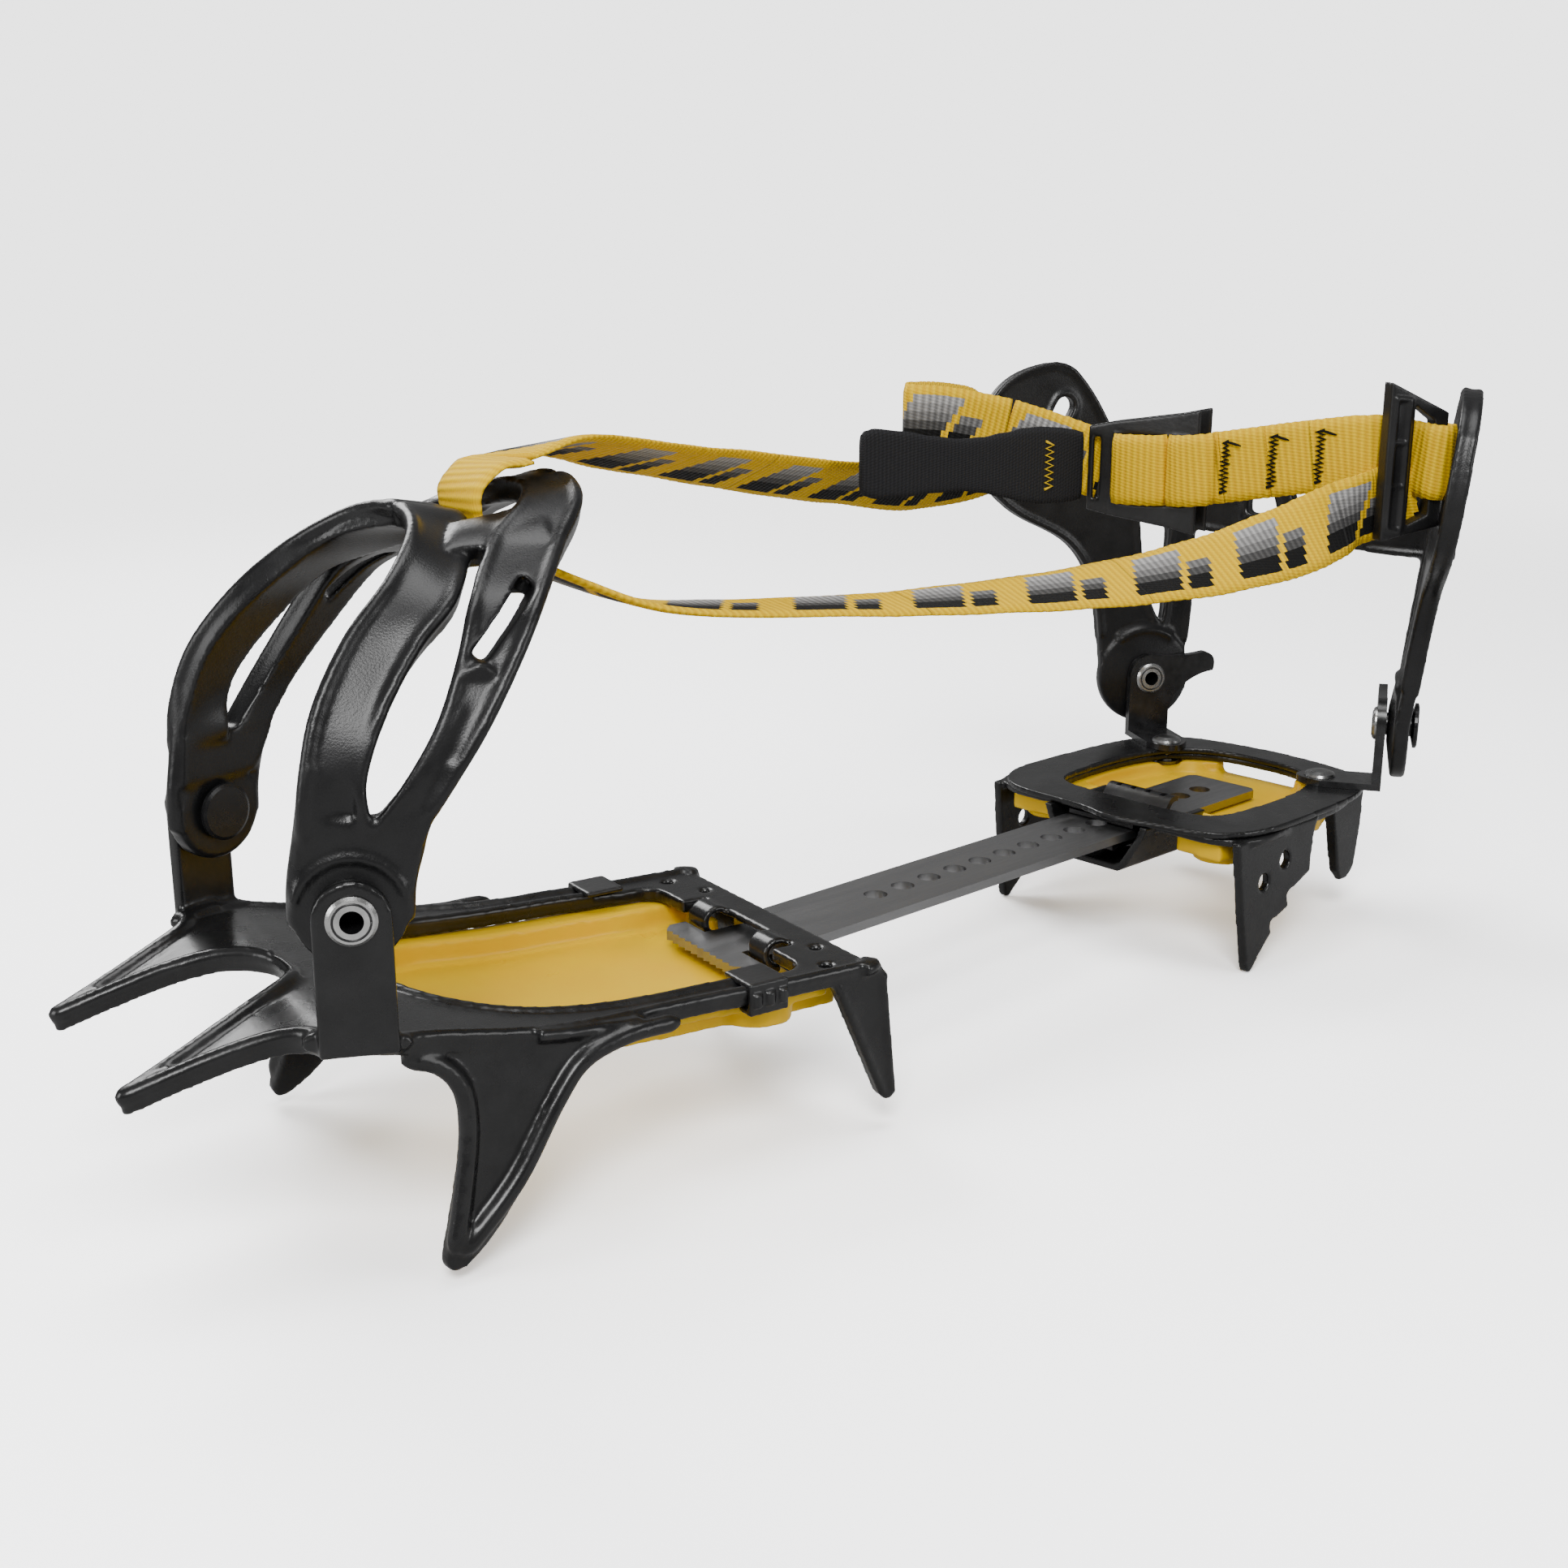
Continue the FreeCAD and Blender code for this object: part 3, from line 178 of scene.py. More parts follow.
def glossy_plastic(name, color):
    """Flexible bright plastic with soft gloss and faint flow marks."""
    s = Shader(name)
    warmer = (color[0], color[1] * 0.88, color[2])
    s.set("Base Color", s.mix(s.spread(s.noise(35.0), 0.0, 1.0), color, warmer))
    s.set("Roughness", s.spread(s.noise(50.0), 0.26, 0.36))
    s.set("Specular IOR Level", 0.25)
    s.set("Subsurface Weight", 0.1)
    s.set("Subsurface Radius", (0.004, 0.002, 0.0005))
    s.set("Subsurface Scale", 0.3)
    s.bump(s.noise(220.0, 2.0), 0.05, 0.0006)
    return s.material


def bare_steel(name, color, rough, stretch=None):
    """Bare steel, brushed or tumbled."""
    s = Shader(name)
    s.set("Metallic", 1.0)
    lines = s.noise(260.0, 5.0, 0.6, stretch)
    s.set("Base Color", s.mix(s.spread(lines, 0.0, 1.0), color, tuple(c * 0.72 for c in color)))
    s.set("Roughness", s.spread(lines, rough - 0.06, rough + 0.1))
    s.bump(lines, 0.12, 0.0003)
    return s.material


def eyelet_steel(name, color, rough):
    """Rolled steel flange, blackened wherever the mesh attribute "dark" says so."""
    s = Shader(name)
    mark = s.tree.nodes.new("ShaderNodeAttribute")
    mark.attribute_name = "dark"
    dark = s.math("MULTIPLY", mark.outputs["Fac"], 1.0, True)
    lines = s.noise(260.0, 5.0, 0.6)
    bright = s.mix(s.spread(lines, 0.0, 1.0), color, tuple(c * 0.6 for c in color))
    s.set("Base Color", s.mix(dark, bright, (0.008, 0.008, 0.0085)))
    s.set("Metallic", s.math("SUBTRACT", 1.0, dark, True))
    s.set("Roughness", s.spread(lines, rough - 0.05, rough + 0.1))
    s.set("Specular IOR Level", 0.4)
    s.bump(lines, 0.12, 0.0003)
    return s.material


def woven(name, color, shade, rib, patterned=False, dark=(0.012, 0.012, 0.012), grey=(0.33, 0.32, 0.30)):
    """Ribbed webbing. Its map runs along the strap in millimetres, and across it from 0 to 1."""
    s = Shader(name)
    uv = s.tree.nodes.new("ShaderNodeUVMap")
    uv.uv_map = "strap"
    xy = s.tree.nodes.new("ShaderNodeSeparateXYZ")
    s.link(uv.outputs[0], xy.inputs[0])
    along, across = xy.outputs[0], xy.outputs[1]
    ribs = s.math("SINE", s.math("MULTIPLY", along, 2 * math.pi / rib))
    ribs01 = s.math("MULTIPLY_ADD", ribs, 0.5)
    ribs01.node.inputs[2].default_value = 0.5
    yarn = s.math("SINE", s.math("ADD", s.math("MULTIPLY", across, 2 * math.pi * 22),
                                 s.math("MULTIPLY", along, math.pi / rib)))
    yarn01 = s.math("MULTIPLY_ADD", yarn, 0.5)
    yarn01.node.inputs[2].default_value = 0.5
    fuzz = s.noise(1500.0, 3.0)
    base = s.mix(s.math("MULTIPLY", s.math("SUBTRACT", 1.0, ribs01), 0.55), color, shade)
    base = s.mix(s.math("MULTIPLY", yarn01, 0.18), base, shade)
    if patterned:
        row = s.math("DIVIDE", s.math("FLOOR", s.math("MULTIPLY", across, 8.0)), 8.0)
        slanted = s.math("SUBTRACT", along, s.math("MULTIPLY", row, 9.0))
        cell = s.math("FRACT", s.math("DIVIDE", slanted, 27.0))
        step = s.math("DIVIDE", s.math("FLOOR", s.math("MULTIPLY", cell, 14.0)), 14.0)
        bar = s.math("MULTIPLY", s.math("GREATER_THAN", step, 0.06), s.math("LESS_THAN", step, 0.46))
        thin = s.math("MULTIPLY", s.math("GREATER_THAN", step, 0.56), s.math("LESS_THAN", step, 0.72))
        thin = s.math("MULTIPLY", thin, s.math("LESS_THAN", row, 0.55))
        bar = s.math("MAXIMUM", bar, thin)
        inside = s.math("MULTIPLY", s.math("GREATER_THAN", across, 0.13), s.math("LESS_THAN", across, 0.87))
        tone = s.mix(s.math("MULTIPLY", s.math("SUBTRACT", row, 0.30), 2.2, True), dark, grey)
        tone = s.mix(s.math("MULTIPLY", s.math("SUBTRACT", 1.0, ribs01), 0.5), tone, dark)
        base = s.mix(s.math("MULTIPLY", bar, inside), base, tone)
    s.set("Base Color", base)
    s.set("Roughness", s.spread(fuzz, 0.62, 0.85))
    s.set("Specular IOR Level", 0.12)
    s.set("Sheen Weight", 0.02)
    height = s.math("ADD", s.math("MULTIPLY", ribs01, 0.8), s.math("MULTIPLY", yarn01, 0.25))
    height = s.math("ADD", height, s.math("MULTIPLY", fuzz, 0.35))
    s.bump(height, 0.55, 0.0005)
    return s.material


BLACK = painted_steel("black_forged", (0.0032, 0.0032, 0.0034), 0.27, 0.15)
BLACK_PRESSED = painted_steel("black_pressed", (0.0055, 0.0055, 0.0058), 0.33, 0.1)
NYLON = moulded_plastic("black_nylon", (0.0040, 0.0040, 0.0043), 0.31)
RING_NYLON = moulded_plastic("ring_nylon", (0.0050, 0.0050, 0.0054), 0.38)
YELLOW = glossy_plastic("yellow_plastic", (0.84, 0.55, 0.0))
BAR = bare_steel("bar_steel", (0.34, 0.34, 0.345), 0.32, (0.12, 1.0, 1.0))
BRIGHT = bare_steel("plate_rivet_steel", (0.30, 0.30, 0.30), 0.30)
FLANGE = eyelet_steel("rivet_steel", (0.62, 0.62, 0.61), 0.22)
GOLD = (0.82, 0.53, 0.0)
GOLD_SHADE = (0.52, 0.26, 0.0)
WEB = woven("yellow_webbing", GOLD, GOLD_SHADE, 1.55, True, (0.006, 0.006, 0.006), (0.42, 0.41, 0.40))
WEB_PLAIN = woven("yellow_webbing_plain", GOLD, GOLD_SHADE, 1.55)
TAB = woven("grey_webbing", (0.020, 0.020, 0.022), (0.008, 0.008, 0.009), 1.1)
THREAD = woven("black_thread", (0.008, 0.008, 0.007), (0.003, 0.003, 0.003), 0.8)
THREAD_YELLOW = woven("yellow_thread", (0.74, 0.50, 0.02), (0.5, 0.3, 0.01), 0.8)


# ---------------------------------------------------------------- mesh helpers

def paint(obj, material):
    obj.data.materials.clear()
    obj.data.materials.append(material)
    return obj


def new_object(name, verts, faces, material, smooth=True):
    mesh = bpy.data.meshes.new(name)
    mesh.from_pydata([Vector(v) for v in verts], [], faces)
    mesh.update()
    obj = bpy.data.objects.new(name, mesh)
    bpy.context.collection.objects.link(obj)
    bm = bmesh.new()
    bm.from_mesh(mesh)
    bmesh.ops.recalc_face_normals(bm, faces=bm.faces)
    bm.to_mesh(mesh)
    bm.free()
    if smooth:
        mesh.polygons.foreach_set("use_smooth", [True] * len(mesh.polygons))
    return paint(obj, material)


def spline(points, step):
    """Points along a Catmull-Rom curve, about one step apart."""
    points = [Vector(p) for p in points]
    out = []
    for i in range(len(points) - 1):
        a = points[i - 1] if i else points[0] * 2 - points[1]
        b, c = points[i], points[i + 1]
        d = points[i + 2] if i + 2 < len(points) else points[-1] * 2 - points[-2]
        count = max(1, round((c - b).length / step))
        for k in range(count):
            t = k / count
            out.append(0.5 * ((2 * b) + (c - a) * t + (2 * a - 5 * b + 4 * c - d) * t * t
                              + (3 * b - a - 3 * c + d) * t ** 3))
    out.append(points[-1].copy())
    return out


def tube(name, points, radius, material, sides=8, step=None, ends=1.0):
    """A round tube along points in millimetres, its ends scaled."""
    line = [Vector(p) for p in points] if step is None else spline(points, step)
    verts, faces = [], []
    side = None
    for i, p in enumerate(line):
        ahead = (line[min(i + 1, len(line) - 1)] - line[max(i - 1, 0)]).normalized()
        if side is None:
            side = ahead.cross(Vector((0, 0, 1)) if abs(ahead.z) < 0.9 else Vector((1, 0, 0))).normalized()
        side = (side - ahead * side.dot(ahead)).normalized()
        other = ahead.cross(side)
        r = radius * (ends if i in (0, len(line) - 1) else 1.0)
        for k in range(sides):
            a = 2 * math.pi * k / sides
            verts.append((p + (side * math.cos(a) + other * math.sin(a)) * r) * MM)
    for i in range(len(line) - 1):
        for k in range(sides):
            a, b = i * sides + k, i * sides + (k + 1) % sides
            faces.append((a, b, b + sides, a + sides))
    faces.append(tuple(range(sides)))
    faces.append(tuple(range(len(verts) - sides, len(verts))))
    return new_object(name, verts, faces, material)


def block(name, low, high):
    """A box in the front section's own directions, from two opposite corners in millimetres."""
    corners = [(x, y, z) for x in (low[0], high[0]) for y in (low[1], high[1]) for z in (low[2], high[2])]
    verts = [TURN @ Vector(c) * MM for c in corners]
    faces = [(0, 1, 3, 2), (4, 6, 7, 5), (0, 4, 5, 1), (2, 3, 7, 6), (0, 2, 6, 4), (1, 5, 7, 3)]
    return new_object(name, verts, faces, BLACK)


def join(name, objects):
    """One object from several, keeping the first one's material slots."""
    bpy.ops.object.select_all(action="DESELECT")
    for o in objects:
        o.select_set(True)
    bpy.context.view_layer.objects.active = objects[0]
    bpy.ops.object.join()
    objects[0].name = name
    return objects[0]


def cad_copy(node, name):
    """A copy of a CAD node's mesh as a new object."""
    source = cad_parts[node]
    obj = bpy.data.objects.new(name, source.data.copy())
    bpy.context.collection.objects.link(obj)
    obj.matrix_world = source.matrix_world.copy()
    for key in list(obj.keys()):
        del obj[key]
    return obj


def stand_in(obj, material, node, body):
    """Makes an object the visible form of a CAD node, riding on one body."""
    paint(obj, material)
    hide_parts(node)
    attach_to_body(obj, body)


def soften(obj, voxel, rounds=6, factor=0.5):
    """Fuses the object's overlapping shells into one skin with rounded edges."""
    bpy.context.view_layer.objects.active = obj
    bpy.context.view_layer.update()
    remesh = obj.modifiers.new("fuse", "REMESH")
    remesh.mode = "VOXEL"
    remesh.voxel_size = voxel * MM
    smooth = obj.modifiers.new("relax", "SMOOTH")
    smooth.iterations = rounds
    smooth.factor = factor
    graph = bpy.context.evaluated_depsgraph_get()
    mesh = bpy.data.meshes.new_from_object(obj.evaluated_get(graph))
    obj.modifiers.clear()
    obj.data = mesh
    mesh.polygons.foreach_set("use_smooth", [True] * len(mesh.polygons))
    return obj


def crisp(node, material, width=0.25):
    """Gives a CAD node a material and fine rounded edges."""
    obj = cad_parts[node]
    paint(obj, material)
    bevel = obj.modifiers.new("edge", "BEVEL")
    bevel.width = width * MM
    bevel.segments = 2
    bevel.limit_method = "ANGLE"
    bevel.angle_limit = math.radians(35)
    bevel.harden_normals = False
    for polygon in obj.data.polygons:
        polygon.use_smooth = True
    angle = obj.modifiers.new("shade", "WEIGHTED_NORMAL")
    angle.keep_sharp = True
    return obj


def ribbon(name, stations, width, thick, material, start=0.0, step=0.9, scallop=0.10, rib=1.55):
    """Webbing through stations (x, y, z, wx, wy, wz): a point and the direction of its width."""
    middles = spline([s[:3] for s in stations], step)
    shares = []
    points = [Vector(s[:3]) for s in stations]
    for i in range(len(points) - 1):
        count = max(1, round((points[i + 1] - points[i]).length / step))
        shares += [(i, k / count) for k in range(count)]
    shares.append((len(points) - 2, 1.0))
    dirs = [Vector(s[3:6]).normalized() for s in stations]
    profile = 9
    verts, faces, coords = [], [], []
    length = start
    for i, p in enumerate(middles):
        k, t = shares[i]
        t = t * t * (3 - 2 * t)
        w = dirs[k].lerp(dirs[k + 1], t)
        ahead = (middles[min(i + 1, len(middles) - 1)] - middles[max(i - 1, 0)]).normalized()
        w = (w - ahead * w.dot(ahead)).normalized()
        n = w.cross(ahead).normalized()
        if i:
            length += (p - middles[i - 1]).length
        half = width / 2 + scallop * math.sin(2 * math.pi * length / rib)
        ring = []
        for side in (1, -1):
            for j in range(profile):
                share = j / (profile - 1) * 2 - 1
                share *= side
                edge = (1 - abs(share) ** 8) ** 0.5 if abs(share) < 1 else 0.0
                ring.append((p + w * (half * share) + n * (side * thick / 2 * (0.35 + 0.65 * edge)), share))
        for q, share in ring:
            verts.append(q * MM)
            coords.append((length, share * 0.5 + 0.5))
    ringsize = 2 * profile
    for i in range(len(middles) - 1):
        for j in range(ringsize):
            a, b = i * ringsize + j, i * ringsize + (j + 1) % ringsize
            faces.append((a, b, b + ringsize, a + ringsize))
    for base in (0, (len(middles) - 1) * ringsize):
        faces.append(tuple(range(base, base + ringsize)))
    obj = new_object(name, verts, faces, material)
    layer = obj.data.uv_layers.new(name="strap")
    for loop in obj.data.loops:
        layer.data[loop.index].uv = coords[loop.vertex_index]
    return obj, length


def turned_up(points):
    """Points of the front section's own directions, in the row's."""
    return [TURN @ Vector(p) for p in points]


# ---------------------------------------------------------------- front section

def rims(obj, radius, sink, keep, least=40.0, sides=7):
    """Closed beads along the sharp edges of the faces that keep(middle, normal) picks out."""
    bm = bmesh.new()
    bm.from_mesh(obj.data)
    bmesh.ops.remove_doubles(bm, verts=bm.verts, dist=2e-6)
    bm.normal_update()
    verts, faces = [], []
    for edge in bm.edges:
        if len(edge.link_faces) != 2 or edge.calc_length() < 1e-6:
            continue
        if edge.link_faces[0].normal.angle(edge.link_faces[1].normal, 0.0) < math.radians(least):
            continue
        a, b = (v.co / MM for v in edge.verts)
        for face in edge.link_faces:
            if not keep((a + b) / 2, face.normal):
                continue
            along = (b - a).normalized()
            inward = face.normal.cross(along).normalized()
            if inward.dot(face.calc_center_median() / MM - (a + b) / 2) < 0:
                inward = -inward
            shift = inward * (radius * 0.62) - face.normal * sink
            for p in (a - along * (radius * 0.4), b + along * (radius * 0.4)):
                for k in range(sides):
                    t = 2 * math.pi * k / sides
                    around = inward * math.cos(t) + face.normal * math.sin(t)
                    verts.append((p + shift + around * radius) * MM)
            base = len(verts) - 2 * sides
            far = base + sides
            for k in range(sides):
                faces.append((base + k, base + (k + 1) % sides, far + (k + 1) % sides, far + k))
            faces.append(tuple(range(base, far)))
            faces.append(tuple(range(far, far + sides)))
            break
    bm.free()
    return new_object("rim", verts, faces, BLACK) if verts else None


def front_local(point):
    """A row point in the front section's own directions."""
    return TURN.inverted() @ Vector(point)


TOE_OUT = Vector((math.cos(math.radians(111)), math.sin(math.radians(111)), 0))
TOE_BACK = Vector((TOE_OUT.y, -TOE_OUT.x, 0))


def toe_at(s, z, out, side):
    """A point on the plane of the toe lug: s back along it, z up, out away from the middle."""
    p = Vector((-97.35, 38.7, 0)) + TOE_BACK * s + TOE_OUT * out
    return TURN @ Vector((p.x, p.y * side, z))


def build_front_frame():
    body = cad_copy("front_frame", "frame_front")

    def top(p, n):
        q = front_local(p)
        inner = q.x > -24 and abs(q.y) < 31.5
        return n.z > 0.5 and q.z < 11.6 and not inner

    def points(p, n):
        q = front_local(p)
        return n.z > 0.4 and q.x < -97 and q.z < 11.6

    def rear(p, n):
        q, m = front_local(p), front_local(n)
        return q.z < -4.0 and q.x > -20 and m.y * q.y > 0 and abs(m.y) > 0.6

    pieces = [body, rims(body, 1.3, 0.25, top), rims(body, 1.7, 0.0, points), rims(body, 0.9, 0.3, rear)]
    for side in (1, -1):
        lean = math.tan(math.radians(9.0))
        left = [(-90, 5.6), (-84, 3.4), (-80.2, -1.5), (-80.0, -9.5), (-82.9, -22), (-84.9, -28.6)]
        right = [(-83.6, -29.0), (-72.2, -19.2), (-63.4, -7.8), (-57.4, -2.0), (-48, 0.4), (-38, 0.4)]
        for line in (left, right):
            path = [(x, side * (37.9 + (2.0 - z) * lean), z) for x, z in line]
            pieces.append(tube("bead", turned_up(spline(path, 2.0)), 1.75, BLACK, 10, None, 0.5))
        ridge = [(-103, 11.4, 10.3), (-112, 15.0, 9.0), (-121, 18.4, 6.2)]
        path = spline([(x, y * side, z) for x, y, z in ridge], 2.0)
        pieces.append(tube("ridge", turned_up(path), 0.9, BLACK, 8, None, 0.3))
    # painted shade: black blocks under the rear of the frame close the gaps where the bright floor would show
    # through, standing in for the shade there
    shade_blocks = [((-3, -11, -10.4), (9, 11, -9.4)), ((6.6, -10, -10.4), (8.2, 10, -8.4)),
             ((6.4, 12.6, -10.0), (8.2, 27, -2.5)), ((6.4, -27, -10.0), (8.2, -12.6, -2.5))]
    for low, high in shade_blocks:
        pieces.append(block("shade_blocks", low, high))
    body = join("frame_front", [p for p in pieces if p])
    soften(body, 0.5, 8)
    stand_in(body, BLACK, "front_frame", "front")


# The beads on the cage's limbs: radius, points (s, z) on the limb, points (x, y, z) over the bridge.
LIMB_EDGES = [
    (1.3, [(-6.7, 43), (-5.7, 52), (-3.2, 62), (2.4, 71.6), (9.2, 78.9)],
     [(-74.2, 15.5, 84.2), (-71, 8, 86.6), (-70, 0, 87.4)]),
    (1.15, [(3.3, 43.2), (2.7, 52), (6.6, 61.7), (12.9, 70.9), (18.9, 77.0)],
     [(-64.8, 14, 81.8), (-61.6, 8, 84.7), (-60.4, 0, 85.7)]),
    (1.1, [(3.5, 43.2), (9.9, 50.7), (15.7, 59.3), (19.7, 68.5), (22.3, 76.0)],
     [(-59.8, 17.6, 83.6), (-52.2, 11.8, 87.6), (-47.8, 5, 89.6), (-47.4, 0, 90)]),
    (1.25, [(12.2, 45.4), (16.1, 50.7), (22.1, 58.9), (27.9, 68), (32.3, 75.5)],
     [(-49.2, 20.4, 83.2), (-42.2, 13, 88), (-39.6, 5.4, 90.3), (-39.4, 0, 90.7)]),
]


def cage_skin(s, z, lift, side):
    """A point lift outside the middle of the cage's limbs, which lean in towards their top."""
    climb = max(0.0, z - 46.0)
    slope = 0.029 * climb
    size = math.sqrt(1 + slope * slope)
    return toe_at(s, z + lift * slope / size, -(6.0 + 0.0145 * climb * climb) + lift / size, side)


def build_toe_cage():
    pieces = [cad_copy("toe_cage", "cage_toe")]
    for side in (1, -1):
        arc = []
        for k in range(19):
            t = math.radians(8 + 164 * k / 18)
            arc.append(toe_at(9.0 * math.cos(t), 31.3 + 9.0 * math.sin(t), -3.9, side))
        pieces.append(tube("hub_ridge", arc, 0.85, BLACK, 8, None, 0.5))
        boss = [toe_at(22.0, 66.6, out, side) for out in (-13.0, -9.4)]
        pieces.append(tube("boss", boss, 2.5, BLACK, 20))
        for flank in ([(8.3, 29), (8.8, 35), (10.3, 40.5), (11.6, 45), (14.6, 50), (17.2, 54)],
                      [(-8.3, 29), (-8.0, 36), (-6.9, 42), (-5.6, 49), (-4.6, 55)]):
            path = spline([toe_at(s, z, -5.8, side) for s, z in flank], 1.5)
            pieces.append(tube("flank", path, 1.8, BLACK, 12))
        for radius, low, high in LIMB_EDGES:
            line = [cage_skin(s, z, 1.75, side) for s, z in low]
            line += [TURN @ Vector((x, y * side, z + 1.6)) for x, y, z in high]
            pieces.append(tube("limb_edge", spline(line, 1.5), radius, BLACK, 10, None, 0.5))
        inner = [cage_skin(s, z, 1.9, side) for s, z in ((9.6, 48.0), (15.0, 55.0), (19.6, 62.6))]
        pieces.append(tube("limb_ridge", spline(inner, 1.5), 0.8, BLACK, 8, None, 0.4))
    body = join("cage_toe", pieces)
    soften(body, 0.5, 12)
    stand_in(body, NYLON, "toe_cage", "toe_cage")


# ---------------------------------------------------------------- heel section

def build_heel():
    body = cad_copy("heel_cradle", "cradle_heel")

    def broad(p, n):
        away = Vector((0.5, 0.866 if p.y > 0 else -0.866, 0))
        return abs(n.dot(away)) > 0.6 and p.z > 27

    body = join("cradle_heel", [p for p in (body, rims(body, 0.95, 0.2, broad)) if p])
    soften(body, 0.5, 9)
    stand_in(body, NYLON, "heel_cradle", "cradle")
    plate = cad_copy("heel_ring_plate", "plate_heel")
    soften(plate, 0.45, 3)
    stand_in(plate, BLACK, "heel_ring_plate", "heel")
    lower = cad_copy("heel_frame", "frame_heel")
    soften(lower, 0.42, 3)
    stand_in(lower, BLACK, "heel_frame", "heel")


def build_plates():
    for node, body in (("front_antiball_plate", "front"), ("heel_antiball_plate", "heel")):
        plate = cad_copy(node, node + "_moulded")
        if body == "heel":
            lips = []
            for side in (1, -1):
                line = [(150, 27.0), (160, 26.2), (169, 23.6), (176, 19.6), (180.2, 14.6)]
                path = spline([(x, y * side, -6.1) for x, y in line], 2.0)
                lips.append(tube("lip", path, 1.8, YELLOW, 10, None, 0.5))
            plate = join(node + "_moulded", [plate] + lips)
        soften(plate, 0.6, 8)
        stand_in(plate, YELLOW, node, body)


def eyelets(node, body, base, out, turned, flip):
    """Tubular rivets: only the rolled flange is bright."""
    obj = cad_copy(node, node + "_rolled")
    mark = obj.data.attributes.new("dark", "FLOAT", "CORNER")
    axis = Vector((out[0], out[1], 0)) * flip
    for polygon in obj.data.polygons:
        p = obj.matrix_world @ polygon.center / MM
        q = front_local(p) if turned else p
        q = Vector((q.x, abs(q.y), q.z)) - Vector(base)
        u = q.dot(axis)
        radial = (q - axis * u).length
        dark = 1.0 if u > 0.25 or radial < 2.0 else 0.0
        for i in polygon.loop_indices:
            mark.data[i].value = dark
        polygon.use_smooth = False
    stand_in(obj, FLANGE, node, body)
    across = Vector((-axis.y, axis.x, 0))
    for side in (1, -1):
        loop = []
        for k in range(33):
            t = 2 * math.pi * k / 32
            p = Vector(base) - axis * 0.92 + across * (3.0 * math.cos(t))
            p.z += 3.0 * math.sin(t)
            p = Vector((p.x, p.y * side, p.z))
            loop.append(TURN @ p if turned else p)
        groove = tube(node + "_groove", loop, 0.2, BLACK_PRESSED, 6)
        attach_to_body(groove, body)


def build_rivets():
    eyelets("toe_rivets", "front", (-97.35, 38.7, 31.3), TOE_OUT, True, -1)
    heel_out = Vector((0.5, math.sin(math.radians(60)), 0))
    inner = Vector((183.8, 38.8, 16.1)) - heel_out * 5.0
    eyelets("heel_rivets", "heel", inner, heel_out, False, 1)


def build_small_steel():
    clips = cad_copy("rail_clips", "clips_rail")
    soften(clips, 0.3, 8)
    stand_in(clips, BLACK_PRESSED, "rail_clips", "front")
    for node, material, width in (("link_bar", BAR, 0.2), ("heel_lugs", BLACK, 0.35),
                                  ("plate_rivets", BRIGHT, 0.2), ("adjuster_cover", BLACK_PRESSED, 0.2),
                                  ("adjuster_lever", BLACK_PRESSED, 0.2), ("adjuster_pin", BRIGHT, 0.2)):
        crisp(node, material, width)


def build_spring():
    """The leaf spring, fine enough to bend between the heel and the lever."""
    spring = paint(cad_copy("adjuster_spring", "spring_leaf"), BRIGHT)
    divide = spring.modifiers.new("finer", "SUBSURF")
    divide.subdivision_type = "SIMPLE"
    divide.levels = divide.render_levels = 3
    bpy.context.view_layer.update()
    graph = bpy.context.evaluated_depsgraph_get()
    spring.data = bpy.data.meshes.new_from_object(spring.evaluated_get(graph))
    spring.modifiers.clear()
    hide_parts("adjuster_spring")
    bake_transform(spring)


def build_strap_ring():
    near, far = Vector((149.5, -51.2, 84.2)), Vector((157.8, -56.2, 83.0))
    along = (far - near).normalized()
    front = along.cross(Vector((0, 0, 1))).normalized()
    pieces = [cad_copy("strap_ring", "ring_strap")]
    for face in (1, -1):
        for a in (-1.7, 1.7):
            foot = near + along * a + front * (2.1 * face)
            line = [foot + Vector((0, 0, z)) for z in (-14.5, 14.5)]
            pieces.append(tube("rib", line, 0.55, BLACK, 8))
        for z in (-14.5, -5, 4.6, 14.2):
            level = near + front * (2.1 * face) + Vector((0, 0, z))
            line = [level + along * a for a in (-1.7, 1.7)]
            pieces.append(tube("rib", line, 0.5, BLACK, 8))
    ring = join("ring_strap", pieces)
    soften(ring, 0.32, 6)
    stand_in(ring, RING_NYLON, "strap_ring", "ring")


def build_buckle():
    for node, body in (("buckle_front_ring", "buckle_front"), ("buckle_rear_ring", "buckle_rear")):
        ring = cad_copy(node, node + "_pressed")
        if body == "buckle_front":
            strips = []
            for v in (8.5, -8.5):
                line = [by_buckle(u, 1.5 + 2.4 * (u / 28.5) ** 2, 79.0 + 0.02 * u + v)
                        for u in (6.5, 13, 20, 26.5)]
                strips.append(tube("strip", line, 0.75, BLACK, 8))
            ring = join(node + "_pressed", [ring] + strips)
        soften(ring, 0.3, 5)
        stand_in(ring, BLACK_PRESSED, node, body)


# ---------------------------------------------------------------- webbing

def leaning(stations):
    """Stations (x, y, z, lean) turned into stations with a width direction."""
    points = [Vector(s[:3]) for s in stations]
    out = []
    for i, (x, y, z, lean) in enumerate(stations):
        ahead = points[min(i + 1, len(points) - 1)] - points[max(i - 1, 0)]
        level = Vector((-ahead.y, ahead.x, 0)).normalized()
        t = math.radians(lean)
        w = Vector((0, 0, 1)) * math.cos(t) + level * math.sin(t)
        out.append((x, y, z, w.x, w.y, w.z))
    return out


WIDTH, THICK = 16.5, 1.5
TO_THE_END = 400


def strap_piece(name, stations, material, body=None, bend=None, start=0.0, replaced=(), width=WIDTH,
                thick=THICK):
    obj, length = ribbon(name, stations, width, thick, material, start)
    if replaced:
        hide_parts(*replaced)
    if bend:
        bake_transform(obj)
    else:
        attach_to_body(obj, body)
    return length


